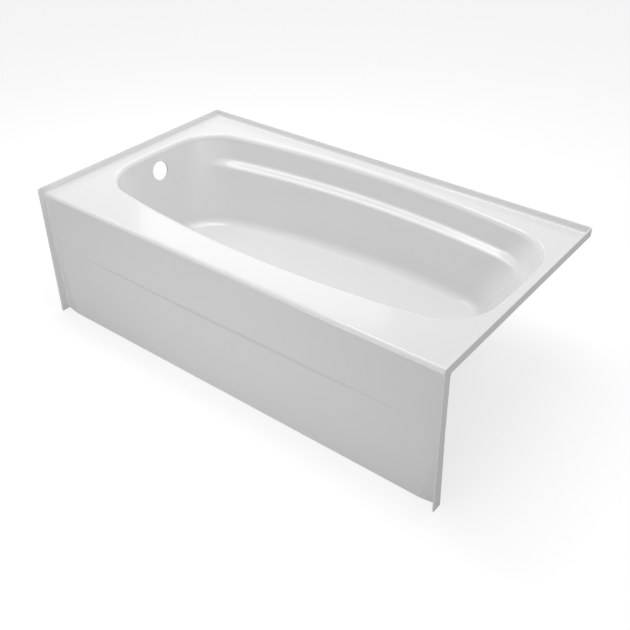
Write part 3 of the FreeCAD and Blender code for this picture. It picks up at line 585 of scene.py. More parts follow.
def flange_stations(side, edge_heights, radius_share):
    """Stations along an end flange: foot, corner, fillet's top, inner and outer edge, outer foot, way out."""
    stations = []
    x_foot, x_in, x_out = side * FOOT_X, side * INNER_X, side * LENGTH / 2
    front = -DEPTH / 2
    for z in edge_heights[:0:-1]:
        near, far = (FACE_Y + float(apron_recess(np.array(x), z, radius_share)) for x in (x_foot, x_in))
        stations.append(((x_foot, near, z), (x_in, far, z), (x_in, far - END_FILLET, z), (x_in, front, z),
                         (x_out, front, z), (x_out, far + SKIN, z), (0, -1, 0)))
    y0, z0 = DECK_FRONT, DECK - ROLL
    corner_y, corner_z = front + FLANGE_CORNER, FLANGE_TOP - FLANGE_CORNER
    for ny, nz in roll_normals():
        y, z = y0 + ROLL * ny, z0 + ROLL * nz
        edge = (corner_y + FLANGE_CORNER * ny, corner_z + FLANGE_CORNER * nz)
        stations.append(((x_foot, y, z), (x_in, y, z), (x_in, y + END_FILLET * ny, z + END_FILLET * nz),
                         (x_in, *edge), (x_out, *edge),
                         (x_out, y0 + (ROLL - SKIN) * ny, z0 + (ROLL - SKIN) * nz), (0, ny, nz)))
    for y in deck_side_stations()[1:]:
        stations.append(((x_foot, y, DECK), (x_in, y, DECK), (x_in, y, DECK + END_FILLET),
                         (x_in, y, FLANGE_TOP), (x_out, y, FLANGE_TOP), (x_out, y, DECK - SKIN), (0, 0, 1)))
    centre_in = (side * FOOT_X, FLANGE_Y - END_FILLET)
    centre_out = (side * (LENGTH / 2 - FLANGE_CORNER), DEPTH / 2 - FLANGE_CORNER)
    foot = (x_foot, DECK_BACK, DECK)
    for k in range(CORNER_TURN_STEPS + 1):
        angle = pi / 2 * k / CORNER_TURN_STEPS
        way = (side * cos(angle), sin(angle))
        inner = (centre_in[0] + END_FILLET * way[0], centre_in[1] + END_FILLET * way[1])
        outer = (centre_out[0] + FLANGE_CORNER * way[0], centre_out[1] + FLANGE_CORNER * way[1])
        height = blend(END_FILLET, BACK_FILLET, smooth(k / CORNER_TURN_STEPS))
        stations.append((foot, (*inner, DECK), (*inner, DECK + height), (*inner, FLANGE_TOP),
                         (*outer, FLANGE_TOP), (*outer, DECK - SKIN), (0, 0, 1)))
    return stations


def deck_side_stations():
    """Places along the deck's ends, from the roll to the back fillet."""
    middle = np.linspace(DECK_FRONT + DECK_MARGIN, DECK_BACK - DECK_MARGIN, DECK_SIDE_STEPS + 1)
    return np.concatenate(([DECK_FRONT], middle, [DECK_BACK]))


def deck_back_stations():
    """Places along the deck's back."""
    return np.linspace(-FOOT_X, FOOT_X, DECK_BACK_STEPS + 1)


def flange_strip(shell, edge_heights, radius, edge):
    """The flanges as one strip, from the foot of the apron at one end round the back to the other."""
    left = flange_stations(-1, edge_heights, radius)
    right = flange_stations(1, edge_heights, radius)
    back = [((x, DECK_BACK, DECK), (x, FLANGE_Y, DECK), (x, FLANGE_Y, DECK + BACK_FILLET),
             (x, FLANGE_Y, FLANGE_TOP), (x, DEPTH / 2, FLANGE_TOP), (x, DEPTH / 2, DECK - SKIN), (0, 0, 1))
            for x in deck_back_stations()[1:-1]]
    stations = np.array(left + back + right[::-1], float)
    foot, corner, top, inner, outer, outer_foot, way = (stations[:, k] for k in range(7))
    across = (outer - inner) / np.linalg.norm(outer - inner, axis=1, keepdims=True)
    fillet = corner_arc(foot, corner, top, FILLET_STEPS)
    crest_in = corner_arc(inner - way * edge, inner, inner + across * edge, CREST_STEPS)
    crest_out = corner_arc(outer - across * edge, outer, outer - way * edge, CREST_STEPS)
    support = outer_foot + way
    middle = (top + inner - way * edge) / 2
    strip = np.concatenate((fillet, middle[:, None], crest_in, crest_out, support[:, None],
                            outer_foot[:, None]), 1)
    shell.sheet(strip)
    return strip


def overflow_frame():
    """Middle of the overflow hole and the directions across, up and out of the wall there."""
    middle = np.array((BASIN_DRAIN_X + drain_inset(OVERFLOW_DEPTH), BASIN_Y, DECK - OVERFLOW_DEPTH))
    across = np.array((0.0, 1.0, 0.0))
    up = np.array((-sin(DRAIN_DRAFT), 0.0, cos(DRAIN_DRAFT)))
    out = np.array((cos(DRAIN_DRAFT), 0.0, sin(DRAIN_DRAFT)))
    return middle, across, up, out


def wall_with_hole(shell, grid, radius):
    """Adds the basin's wall with a round hole in its drain end, and gives the hole's edge on it."""
    middle, across, up, out = overflow_frame()
    local = np.stack([(grid - middle) @ way for way in (across, up, out)], -1)
    near = (np.abs(local) < HOLE_REACH).all(-1)
    rows = np.flatnonzero(near.any(1))
    columns = np.flatnonzero(near.any(0))
    r0, r1, c0, c1 = rows[0], rows[-1], columns[0], columns[-1]
    quads = shell.quads(grid, closed=True)
    keep = np.ones(quads.shape[:2], bool)
    keep[r0:r1, c0:c1] = False
    shell.faces += quads[keep].tolist()
    loop = ([(r0, c) for c in range(c0, c1)] + [(r, c1) for r in range(r0, r1)]
            + [(r1, c) for c in range(c1, c0, -1)] + [(r, c0) for r in range(r1, r0, -1)])
    edge = np.array([local[r, c] for r, c in loop])
    patch = local[r0:r1 + 1, c0:c1 + 1].reshape(-1, 3)

    def terms(a, b):
        a, b = a / PATCH_SCALE, b / PATCH_SCALE
        powers = [(i, j) for i in range(PATCH_TERMS) for j in range(PATCH_TERMS - i)]
        return np.stack([a ** i * b ** j for i, j in powers], -1)

    fit = np.linalg.lstsq(terms(patch[:, 0], patch[:, 1]), patch[:, 2], rcond=None)[0]

    def on_wall(a, b):
        return as_points(a, b, terms(a, b) @ fit)

    turn = full_turn(HOLE_STEPS)
    rings = [on_wall((radius + band) * np.cos(turn), (radius + band) * np.sin(turn)) for band in HOLE_BANDS]
    world = np.stack((across, up, out))
    shell.flat(edge @ world + middle, rings[3] @ world + middle,
               plan=lambda p: np.stack([(p - middle) @ way for way in (across, up)], -1))
    shell.sheet(np.stack(rings) @ world + middle, closed=True)
    return rings[0] @ world + middle


def drain_ring(radius, below):
    """Ring of points about the drain on the sloping floor, a distance beneath its face."""
    turn = full_turn(HOLE_STEPS)
    norm = hypot(FALL, 1)
    along, up = np.array((1, 0, FALL)) / norm, np.array((-FALL, 0, 1)) / norm
    middle = np.array((DRAIN_X, BASIN_Y, DECK - WELL + FALL * (DRAIN_X - FALL_X)))
    return (middle + radius * np.cos(turn)[:, None] * along + radius * np.sin(turn)[:, None] * (0, 1, 0)
            - below * up)


def expanded(loop, distance):
    """A flat loop moved outwards."""
    along = np.roll(loop, -1, 0) - np.roll(loop, 1, 0)
    outward = as_points(-along[:, 1], along[:, 0], 0.0)
    outward /= np.linalg.norm(outward, axis=1, keepdims=True)
    if np.sum(outward[:, :2] * (loop - loop.mean(0))[:, :2]) < 0:
        outward = -outward
    return loop + outward * distance


def skin_mesh(sizes):
    """The moulded skin, inside and out, as one closed mesh."""
    step_radius, edge, hole = sizes.step_radius / MM, sizes.edge_radius / MM, sizes.hole_radius / MM
    shell = Shell()
    controls = basin_controls()
    inner = spline_grid(controls, *INSIDE_SPANS)
    outer = spline_grid(offset_controls(controls, SKIN), *OUTSIDE_SPANS)

    # overflow hole, with an eased edge inside
    rim_in = wall_with_hole(shell, inner, OVERFLOW_RADIUS + hole)
    rim_out = wall_with_hole(shell, outer, OVERFLOW_RADIUS)
    _, across, up, out = overflow_frame()
    turn = full_turn(HOLE_STEPS)
    spokes = np.cos(turn)[:, None] * across + np.sin(turn)[:, None] * up
    bend = corner_arc(rim_in, rim_in - spokes * hole, rim_in - spokes * hole - out * hole, BEND_STEPS)
    shell.sheet(np.concatenate((bend.transpose(1, 0, 2), rim_out[None])), closed=True)

    # floor with the drain's dish and hole
    rings = [(DISH_RADIUS + 4, 0), (DISH_RADIUS + 1.5, 0), (DISH_RADIUS, 0.3), (DISH_RADIUS - 2, 1.1),
             (DISH_FLAT_RADIUS + 2, 3.1), (DISH_FLAT_RADIUS, 3.75), (DISH_FLAT_RADIUS - 2, DISH_DEPTH),
             (DRAIN_RADIUS + hole * 2, DISH_DEPTH), (DRAIN_RADIUS + hole, DISH_DEPTH + 0.02),
             (DRAIN_RADIUS + hole * 0.3, DISH_DEPTH + hole * 0.3), (DRAIN_RADIUS, DISH_DEPTH + hole),
             (DRAIN_RADIUS, DISH_DEPTH + SKIN), (DISH_FLAT_RADIUS, DISH_DEPTH + SKIN), (DISH_RADIUS, SKIN),
             (DISH_RADIUS + SKIN, SKIN)]
    dish = np.stack([drain_ring(radius, below) for radius, below in rings])
    shell.sheet(dish, closed=True)
    shell.flat(inner[-1], dish[0])
    shell.flat(outer[-1], dish[-1])

    # apron and roll, front and back
    x = apron_stations()
    z = apron_heights(x)
    y = FACE_Y + apron_recess(x[None], z, step_radius)
    front = as_points(x, y, z)
    ends = np.array([-LENGTH / 2, -INNER_X])
    x_back = np.concatenate((ends, x[::BEHIND_EVERY], -ends[::-1]))
    z_back = apron_heights(x_back)
    y_back = FACE_Y + SKIN + apron_recess(x_back[None], z_back, step_radius)
    behind = as_points(x_back, y_back, z_back)
    sheets = []
    for stations, sheet, radius in ((x, front, ROLL), (x_back, behind, ROLL - SKIN)):
        way = roll_normals()[::-1]
        roll = np.stack([as_points(stations, DECK_FRONT + radius * ny, DECK - ROLL + radius * nz)
                         for ny, nz in way[:-1]])
        sheets.append(np.concatenate((roll, sheet)))
        shell.sheet(sheets[-1])
    strip = flange_strip(shell, z[:, 0], step_radius, edge)
    foot = np.concatenate((front[-1], strip[-1][1:], behind[-1][::-1][1:], strip[0][::-1][1:-1]))
    shell.flat(foot)

    # deck, held flat by a narrow band along each edge
    side = deck_side_stations()
    back = deck_back_stations()[::-1]
    loop = np.concatenate((as_points(x, DECK_FRONT, DECK), as_points(FOOT_X, side[1:], DECK),
                           as_points(back[1:], DECK_BACK, DECK), as_points(-FOOT_X, side[::-1][1:-1], DECK)))
    held = as_points(np.clip(loop[:, 0], RIM_BAND - FOOT_X, FOOT_X - RIM_BAND),
                     np.clip(loop[:, 1], DECK_FRONT + RIM_BAND, DECK_BACK - RIM_BAND), DECK)
    shell.sheet(np.stack((loop, held)), closed=True)
    rim = inner[0]
    rim_band = expanded(rim, RIM_BAND)
    shell.sheet(np.stack((rim_band, rim)), closed=True)
    shell.flat(held, rim_band)
    apron_stretch = len(z) + len(roll_normals()) - 1
    below = np.concatenate((sheets[1][0], strip[::-1, -1][apron_stretch:-apron_stretch]))
    shell.flat(below, outer[0])
    return shell.mesh("bathtub_skin", SKIN_CREASE)


# ---------------------------------------------------------------- materials

class Value:
    """A node's output that can stand in a Python sum."""

    def __init__(self, nodes, socket):
        self.nodes = nodes
        self.socket = socket

    def math(self, operation, other=None, swap=False):
        pair = [self, other] if other is not None else [self]
        if swap:
            pair.reverse()
        return self.nodes.add("ShaderNodeMath", {"operation": operation}, dict(enumerate(pair)))

    def __add__(self, other):
        return self.math("ADD", other)

    def __sub__(self, other):
        return self.math("SUBTRACT", other)

    def __rsub__(self, other):
        return self.math("SUBTRACT", other, swap=True)

    def __mul__(self, other):
        return self.math("MULTIPLY", other)

    def __truediv__(self, other):
        return self.math("DIVIDE", other)

    __radd__ = __add__
    __rmul__ = __mul__


class Nodes:
    """A node tree that is filled one call at a time."""

    def __init__(self, tree, output):
        self.tree = tree
        self.tree.nodes.clear()
        self.output = tree.nodes.new(output)

    def add(self, kind, settings=None, sockets=None, out=0):
        """Adds a node, sets it up, fills its sockets with values or links, and gives one output."""
        node = self.tree.nodes.new(kind)
        for key, value in (settings or {}).items():
            if key == "stops":
                ramp = node.color_ramp.elements
                while len(ramp) < len(value):
                    ramp.new(0.5)
                for element, (position, colour) in zip(ramp, value):
                    element.position = position
                    element.color = (*colour, 1.0)
            else:
                setattr(node, key, value)
        for key, value in (sockets or {}).items():
            self.put(node.inputs[key], value)
        return Value(self, node.outputs[out])

    def put(self, socket, value):
        """Gives a socket a value, a link or a list of links."""
        for item in (value if isinstance(value, list) else [value]):
            if isinstance(item, Value):
                self.tree.links.new(item.socket, socket)
            else:
                socket.default_value = item

    def seen_rays(self, gloss=1.0):
        """One for rays that show a surface straight, a share for those in a gloss or through glass."""
        seen = self.add("ShaderNodeLightPath", out="Is Camera Ray")
        for name in ("Is Glossy Ray", "Is Transmission Ray"):
            seen = seen.math("MAXIMUM", self.add("ShaderNodeLightPath", out=name) * gloss)
        return seen


class Shader(Nodes):
    """A material with the textures that its finish needs."""

    def __init__(self, name):
        self.material = bpy.data.materials.new(name)
        self.material.use_nodes = True
        super().__init__(self.material.node_tree, "ShaderNodeOutputMaterial")

    def place(self, scale=(1.0, 1.0, 1.0), turn=(0.0, 0.0, 0.0)):
        """Object coordinates in metres, turned and then scaled along the turned axes."""
        where = self.add("ShaderNodeTexCoord", out="Object")
        return self.add("ShaderNodeMapping", {"vector_type": "TEXTURE"},
                        {"Vector": where, "Scale": tuple(1 / part for part in scale), "Rotation": turn})

    def noise(self, scale, detail=2.0, stretch=(1.0, 1.0, 1.0), turn=(0.0, 0.0, 0.0), rough=0.5):
        """Noise from nought to one, with its grains drawn out along the axes of least stretch."""
        return self.add("ShaderNodeTexNoise", None, {"Vector": self.place(stretch, turn), "Scale": scale,
                                                     "Detail": detail, "Roughness": rough}, out="Fac")

    def ramp(self, value, *stops):
        """A grey or colour that follows a value through stops of (position, colour)."""
        stops = [(at, (c, c, c) if isinstance(c, float) else c) for at, c in stops]
        return self.add("ShaderNodeValToRGB", {"stops": stops}, {"Fac": value}, out="Color")

    def mix(self, factor, a, b):
        """Mixes two colours."""
        a, b = [(*colour, 1.0) if isinstance(colour, tuple) else colour for colour in (a, b)]
        return self.add("ShaderNodeMix", {"data_type": "RGBA"}, {"Factor": factor, 6: a, 7: b}, out=2)

    def bump(self, height, distance, strength=1.0):
        """Normals that follow a height, at a distance in metres."""
        return self.add("ShaderNodeBump", None,
                        {"Height": height, "Distance": distance, "Strength": strength}, out="Normal")

    def finish(self, **sockets):
        """The surface itself; names are those of the shader's sockets, with spaces as underscores."""
        values = {key.replace("_", " "): value for key, value in sockets.items()}
        surface = self.add("ShaderNodeBsdfPrincipled", None, values)
        self.put(self.output.inputs["Surface"], surface)
        return self.material


def tone(colour, factor):
    """A colour made lighter or darker."""
    return tuple(min(1.0, channel * factor) for channel in colour)


def acrylic(name, colour):
    """Glossy moulded sheet with the faintest cloud, ripple and wiped smears."""
    s = Shader(name)
    cloud = s.noise(2.5, 2.0)
    peel = s.noise(420.0, 2.0)
    smear = s.noise(14.0, 3.0, stretch=(1.0, 1.0, 2.0))
    base = s.mix(s.ramp(cloud, (0.35, 0.0), (0.65, 1.0)), tone(colour, 0.995), colour)
    rough = 0.13 + smear * 0.06
    return s.finish(Base_Color=base, Roughness=rough, Normal=s.bump(peel, 0.000008, 0.5), IOR=1.49,
                    Coat_Weight=0.25, Coat_Roughness=0.08)


def laminate(name, colour):
    """Chopped glass strands in resin: short pale fibres lying every way over a warmer ground."""
    s = Shader(name)
    strands = None
    along_sides = [(0.0, angle, 0.0) for angle in (0.25, 1.30, 2.35)]
    along_ends = [(0.0, angle, pi / 2) for angle in (0.60, 1.65, 2.75)]
    along_floor = [(0.0, 0.0, angle) for angle in (0.45, 1.50, 2.55)]
    for k, turn in enumerate(along_sides + along_ends + along_floor):
        fibre = s.noise(21.0 + 1.7 * k, 1.0, stretch=(1.0, 15.0, 15.0), turn=turn)
        fibre = s.ramp(fibre, (0.57, 0.0), (0.65, 1.0))
        strands = fibre if strands is None else strands.math("MAXIMUM", fibre)
    wet = s.noise(9.0, 3.0)
    lumps = s.noise(60.0, 3.0)
    ground = s.mix(s.ramp(wet, (0.3, 0.0), (0.7, 1.0)), tone(colour, 0.88), tone(colour, 0.97))
    base = s.mix(strands * 0.75, ground, tone(colour, 1.10))
    height = strands * 0.6 + lumps * 0.8 + wet * 0.5
    return s.finish(Base_Color=base, Roughness=0.42 + wet * 0.22, Normal=s.bump(height, 0.0008, 0.8))


def plywood(name, colour, thickness_axis):
    """Veneered faces with long grain, and cut edges that show the plies."""
    s = Shader(name)
    where = s.add("ShaderNodeTexCoord", out="Object")
    facing = s.add("ShaderNodeTexCoord", out="Normal")
    axis = "XYZ".index(thickness_axis)
    up = s.add("ShaderNodeSeparateXYZ", None, {"Vector": facing}, out=axis).math("ABSOLUTE")
    across = s.add("ShaderNodeSeparateXYZ", None, {"Vector": where}, out=axis)
    face = s.ramp(up, (0.55, 0.0), (0.80, 1.0))
    grain = s.noise(34.0, 4.0, stretch=(0.7, 12.0, 12.0), rough=0.6)
    flare = s.noise(3.0, 2.0, stretch=(0.6, 5.0, 5.0))
    figure = s.ramp(grain, (0.30, tone(colour, 0.78)), (0.52, colour), (0.72, tone(colour, 1.14)))
    figure = s.mix(flare * 0.5, figure, tone(colour, 0.90))
    plies = (across * (2 * pi / 0.0034)).math("SINE") * 0.5 + 0.5
    fray = s.noise(500.0, 2.0)
    layers = s.ramp(plies + fray * 0.3, (0.45, tone(colour, 0.60)), (0.65, tone(colour, 1.12)))
    base = s.mix(face, layers, figure)
    height = grain * 0.5 + plies * (1.0 - face) * 0.6
    return s.finish(Base_Color=base, Roughness=0.62 + grain * 0.2, Normal=s.bump(height, 0.0003, 0.7))


def timber(name, colour, along):
    """Planed softwood with growth rings stretched along the piece."""
    s = Shader(name)
    stretch = tuple(0.06 if letter == along else 1.0 for letter in "XYZ")
    wander = s.noise(22.0, 2.0, stretch=stretch)
    where = s.add("ShaderNodeSeparateXYZ", None, {"Vector": s.place()}, out="Y")
    rings = (where * 520.0 + wander * 34.0).math("SINE") * 0.5 + 0.5
    pores = s.noise(260.0, 2.0, stretch=stretch)
    knots = s.ramp(s.noise(5.0, 2.0, stretch=tuple(3 * v for v in stretch)), (0.60, 0.0), (0.74, 1.0))
    base = s.mix(rings.math("POWER", 2.2) * 0.65, tone(colour, 1.10), tone(colour, 0.74))
    base = s.mix(knots * 0.35, base, tone(colour, 0.55))
    height = rings * 0.4 + pores * 0.6
    return s.finish(Base_Color=base, Roughness=0.58 + pores * 0.2, Normal=s.bump(height, 0.00025, 0.6))


def zinc(name, colour):
    """Zinc plate: a cool metal with fine spangle and drawn lines."""
    s = Shader(name)
    spangle = s.add("ShaderNodeTexVoronoi", None, {"Vector": s.place(), "Scale": 170.0}, out="Color")
    grey = s.add("ShaderNodeSeparateColor", None, {"Color": spangle})
    drawn = s.noise(600.0, 2.0, stretch=(1.0, 0.04, 1.0))
    stain = s.noise(18.0, 3.0)
    base = s.mix(grey * 0.6, tone(colour, 0.88), tone(colour, 1.12))
    base = s.mix(s.ramp(stain, (0.5, 0.0), (0.75, 0.5)), base, tone(colour, 0.72))
    return s.finish(Base_Color=base, Metallic=1.0, Roughness=0.30 + grey * 0.12 + stain * 0.10,
                    Normal=s.bump(drawn, 0.00002, 0.6))


def pad_plastic(name, colour):
    """Grained black plastic with a little dust."""
    s = Shader(name)
    grain = s.noise(1500.0, 2.0)
    dust = s.ramp(s.noise(40.0, 4.0), (0.5, 0.0), (0.8, 1.0))
    base = s.mix(dust * 0.25, colour, tone(colour, 3.0))
    return s.finish(Base_Color=base, Roughness=0.46 + grain * 0.15, Normal=s.bump(grain, 0.00006, 0.7))


def finish_named(name, make, colour, *values):
    """A material made once, in a colour from the settings, and then found again by its name."""
    colours = bpy.context.scene.bathtub_colours
    return bpy.data.materials.get(name) or make(name, tuple(getattr(colours, colour)), *values)


def steel_finish():
    """The zinc plate shared by rails, screws, studs and nuts."""
    return finish_named("zinc_plated_steel", zinc, "steel")


# ---------------------------------------------------------------- boards, rails and feet

def eased_copy(node, name, width):
    """A CAD node's mesh, merged and cleared of inner lines, with its sharp edges eased."""
    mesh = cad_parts[node].data.copy()
    mesh.name = name
    form = bmesh.new()
    form.from_mesh(mesh)
    bmesh.ops.remove_doubles(form, verts=form.verts, dist=DEGENERATE)
    bmesh.ops.dissolve_limit(form, angle_limit=radians(FLAT_ANGLE), verts=form.verts, edges=form.edges)
    form.to_mesh(mesh)
    form.free()
    if "custom_normal" in mesh.attributes:
        mesh.attributes.remove(mesh.attributes["custom_normal"])
    scratch = new_object(name + "_scratch", mesh)
    bevel = scratch.modifiers.new("easing", "BEVEL")
    bevel.width = width
    bevel.segments = 2
    bevel.limit_method = "ANGLE"
    bevel.angle_limit = radians(EASED_ANGLE)
    return shade(plain_mesh(scratch, name), BOARD_CREASE)


def plain_mesh(scratch, name):
    """The evaluated mesh of a scratch object, which is then removed."""
    graph = bpy.context.evaluated_depsgraph_get()
    graph.update()
    mesh = bpy.data.meshes.new_from_object(scratch.evaluated_get(graph), depsgraph=graph)
    mesh.name = name
    bpy.data.objects.remove(scratch)
    return mesh


class Tree(Nodes):
    """A Geometry Nodes tree with named inputs."""

    def __init__(self, name, inputs):
        self.group = bpy.data.node_groups.new(name, "GeometryNodeTree")
        face = self.group.interface
        face.new_socket("Geometry", in_out="INPUT", socket_type="NodeSocketGeometry")
        for label, (kind, value) in inputs.items():
            socket = face.new_socket(label, in_out="INPUT", socket_type=kind)
            if value is not None:
                socket.default_value = value
        face.new_socket("Geometry", in_out="OUTPUT", socket_type="NodeSocketGeometry")
        super().__init__(self.group, "NodeGroupOutput")
        source = self.tree.nodes.new("NodeGroupInput")
        self.inputs = {socket.name: Value(self, socket) for socket in source.outputs}

    def close(self, geometry, material):
        """Ends the tree with real geometry in one material."""
        real = self.add("GeometryNodeRealizeInstances", None, {"Geometry": geometry})
        done = self.add("GeometryNodeSetMaterial", None, {"Geometry": real, "Material": material})
        self.put(self.output.inputs[0], done)

    def run(self, mesh, values, name):
        """Runs the tree on a mesh with the given inputs, and gives the plain mesh that comes out."""
        scratch = new_object(name + "_scratch", mesh)
        modifier = scratch.modifiers.new(name, "NODES")
        modifier.node_group = self.group
        for item in self.group.interface.items_tree:
            if item.in_out == "INPUT" and item.name in values:
                modifier[item.identifier] = values[item.name]
        return plain_mesh(scratch, name)


def thread_tree(material):
    """Winds a rounded ridge round a stud's shank."""
    tree = Tree("stud_thread", {"Radius": ("NodeSocketFloat", 0.005), "Pitch": ("NodeSocketFloat", 0.0015),
                                "Ridge": ("NodeSocketFloat", 0.0006), "Length": ("NodeSocketFloat", 0.1),
                                "Base": ("NodeSocketVector", None)})
    turns = tree.inputs["Length"] / tree.inputs["Pitch"]
    path = tree.inputs["Radius"] - tree.inputs["Ridge"]
    helix = tree.add("GeometryNodeCurveSpiral", None,
                     {"Resolution": 20, "Rotations": turns, "Start Radius": path, "End Radius": path,
                      "Height": tree.inputs["Length"]})
    ring = tree.add("GeometryNodeCurvePrimitiveCircle", None,
                    {"Resolution": 6, "Radius": tree.inputs["Ridge"]})
    ridge = tree.add("GeometryNodeCurveToMesh", None,
                     {"Curve": helix, "Profile Curve": ring, "Fill Caps": True})
    ridge = tree.add("GeometryNodeTransform", None, {"Geometry": ridge, "Translation": tree.inputs["Base"]})
    smooth_ridge = tree.add("GeometryNodeSetShadeSmooth", None, {"Geometry": ridge})
    both = tree.add("GeometryNodeJoinGeometry", None, {"Geometry": [smooth_ridge, tree.inputs["Geometry"]]})
    tree.close(both, material)
    return tree


def row_tree(material):
    """Sets copies of one mesh in a row along y, tilted to the floor's fall."""
    tree = Tree("screw_row", {"Count": ("NodeSocketInt", 4), "Spacing": ("NodeSocketFloat", 0.11),
                              "Start": ("NodeSocketVector", None), "Tilt": ("NodeSocketFloat", 0.0)})
    step = tree.add("ShaderNodeCombineXYZ", None, {"Y": tree.inputs["Spacing"]})
    line = tree.add("GeometryNodeMeshLine", {"mode": "OFFSET"},
                    {"Count": tree.inputs["Count"], "Start Location": tree.inputs["Start"], "Offset": step})
    lean = tree.add("ShaderNodeCombineXYZ", None, {"Y": tree.inputs["Tilt"]})
    copies = tree.add("GeometryNodeInstanceOnPoints", None,
                      {"Points": line, "Instance": tree.inputs["Geometry"], "Rotation": lean})
    tree.close(copies, material)
    return tree


def pan_screw():
    """A pan-head screw with a cross recess, its head's seat at the origin and its shank up."""
    shell = Shell()
    turn = full_turn(SCREW_STEPS)
    rows = []
    for share in np.linspace(0, 1, DOME_STEPS + 1):
        radius = HEAD_RADIUS * share
        drop = HEAD_HEIGHT * (1 - DOME_DROP * share ** 4)
        x, y = radius * np.cos(turn), radius * np.sin(turn)
        arm = np.minimum(np.abs(x), np.abs(y)) < RECESS_HALF_WIDTH
        slot = np.where(arm & (radius < RECESS_REACH), RECESS_DEPTH * (1 - radius / HEAD_HEIGHT), 0.0)
        rows.append(as_points(x, y, slot - drop))
    for radius, height in ((HEAD_RADIUS, 0.0), (SHANK_RADIUS, 0.0), (SHANK_RADIUS, SHANK_LENGTH),
                           (TIP_RADIUS, SCREW_LENGTH)):
        rows.append(as_points(radius * np.cos(turn), radius * np.sin(turn), height))
    grid = np.stack(rows)
    shell.sheet(grid, closed=True)
    shell.flat(grid[-1])
    return shell.mesh("pan_screw", SCREW_CREASE)


def nut_rows(shell, x, y, z):
    """A hexagon nut with chamfered corners and a bore, from z up."""
    turn = full_turn(NUT_STEPS)
    half = NUT_ACROSS_FLATS / 2
    from_flat = (turn + pi / 6) % (pi / 3) - pi / 6
    hexagon = half / np.cos(from_flat)
    flat = half * NUT_FACE_SHARE
    fall = np.maximum(hexagon - flat, 0) * tan(NUT_CHAMFER)
    mouth = NUT_BORE + NUT_SINK
    rows = [(NUT_BORE, NUT_SINK), (mouth, 0), (flat, 0), (hexagon, fall), (hexagon, NUT_HEIGHT - fall),
            (flat, NUT_HEIGHT), (mouth, NUT_HEIGHT), (NUT_BORE, NUT_HEIGHT - NUT_SINK), (NUT_BORE, NUT_SINK)]
    shell.sheet(np.stack([as_points(x + r * np.cos(turn), y + r * np.sin(turn), z + h) for r, h in rows]),
                closed=True)


def heights(node):
    """A node's lowest and highest point, in millimetres."""
    low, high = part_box(node)
    return low[2] / MM, high[2] / MM


# ---------------------------------------------------------------- operators

class BATHTUB_OT_skin(bpy.types.Operator):
    """Mould the skin: basin, deck, rolled front, apron and flanges"""
    bl_idname = "bathtub.skin"
    bl_label = "Moulded skin"

    def execute(self, context):
        material = finish_named("moulded_acrylic", acrylic, "acrylic")
        place(skin_mesh(context.scene.bathtub_sizes), "tub", ["tub_skin"], material)
        return {"FINISHED"}


class BATHTUB_OT_backing(bpy.types.Operator):
    """Give the glass-fibre backings their finish"""
    bl_idname = "bathtub.backing"
    bl_label = "Glass-fibre backing"

    def execute(self, context):
        material = finish_named("glass_fibre_laminate", laminate, "laminate")
        for node in ("basin_backing", "apron_backing"):
            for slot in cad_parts[node].material_slots:
                slot.material = material
        return {"FINISHED"}


class BATHTUB_OT_boards(bpy.types.Operator):
    """Cut the plywood boards and the timber sill and posts"""
    bl_idname = "bathtub.boards"
    bl_label = "Boards and posts"

    def execute(self, context):
        width = context.scene.bathtub_sizes.board_easing
        flat = finish_named("plywood_flat", plywood, "plywood", "Z")
        upright = finish_named("plywood_upright", plywood, "plywood", "Y")
        long_timber = finish_named("timber_long", timber, "timber", "X")
        tall_timber = finish_named("timber_tall", timber, "timber", "Z")
        pieces = {"floor_board": flat, "front_deck_board": flat, "back_deck_board": flat,
                  "drain_end_deck_board": flat, "rest_end_deck_board": flat, "upper_apron_board": upright,
                  "apron_sill": long_timber, "drain_end_apron_upright": tall_timber,
                  "middle_apron_upright": tall_timber, "rest_end_apron_upright": tall_timber}
        for node, material in pieces.items():
            place(eased_copy(node, "eased_" + node, width), "tub", [node], material)
        return {"FINISHED"}


class BATHTUB_OT_rails(bpy.types.Operator):
    """Form the two steel channels"""
    bl_idname = "bathtub.rails"
    bl_label = "Rails"

    def execute(self, context):
        for node in ("drain_end_rail", "rest_end_rail"):
            mesh = eased_copy(node, "channel_" + node, context.scene.bathtub_sizes.steel_easing)
            place(mesh, "tub", [node], steel_finish())
        return {"FINISHED"}


class BATHTUB_OT_screws(bpy.types.Operator):
    """Set a row of pan-head screws up through each rail"""
    bl_idname = "bathtub.screws"
    bl_label = "Rail screws"

    def execute(self, context):
        tree = row_tree(steel_finish())
        rows = []
        norm = hypot(FALL, 1)
        first_y = BASIN_Y - (SCREWS_PER_RAIL - 1) / 2 * SCREW_SPACING
        for x in (-RAIL_X, RAIL_X):
            seat = DECK - WELL + FALL * (x - FALL_X) - SCREW_SEAT / norm
            values = {"Count": SCREWS_PER_RAIL, "Spacing": SCREW_SPACING * MM, "Tilt": -atan(FALL),
                      "Start": (x * MM + SCREW_SEAT * FALL / norm * MM, first_y * MM, seat * MM)}
            rows.append(tree.run(pan_screw(), values, "rail_screw_row"))
        form = bmesh.new()
        for mesh in rows:
            form.from_mesh(mesh)
        joined = bpy.data.meshes.new("pan_screws")
        form.to_mesh(joined)
        form.free()
        place(shade(joined, SCREW_CREASE), "tub", ["rail_screws"], steel_finish())
        return {"FINISHED"}


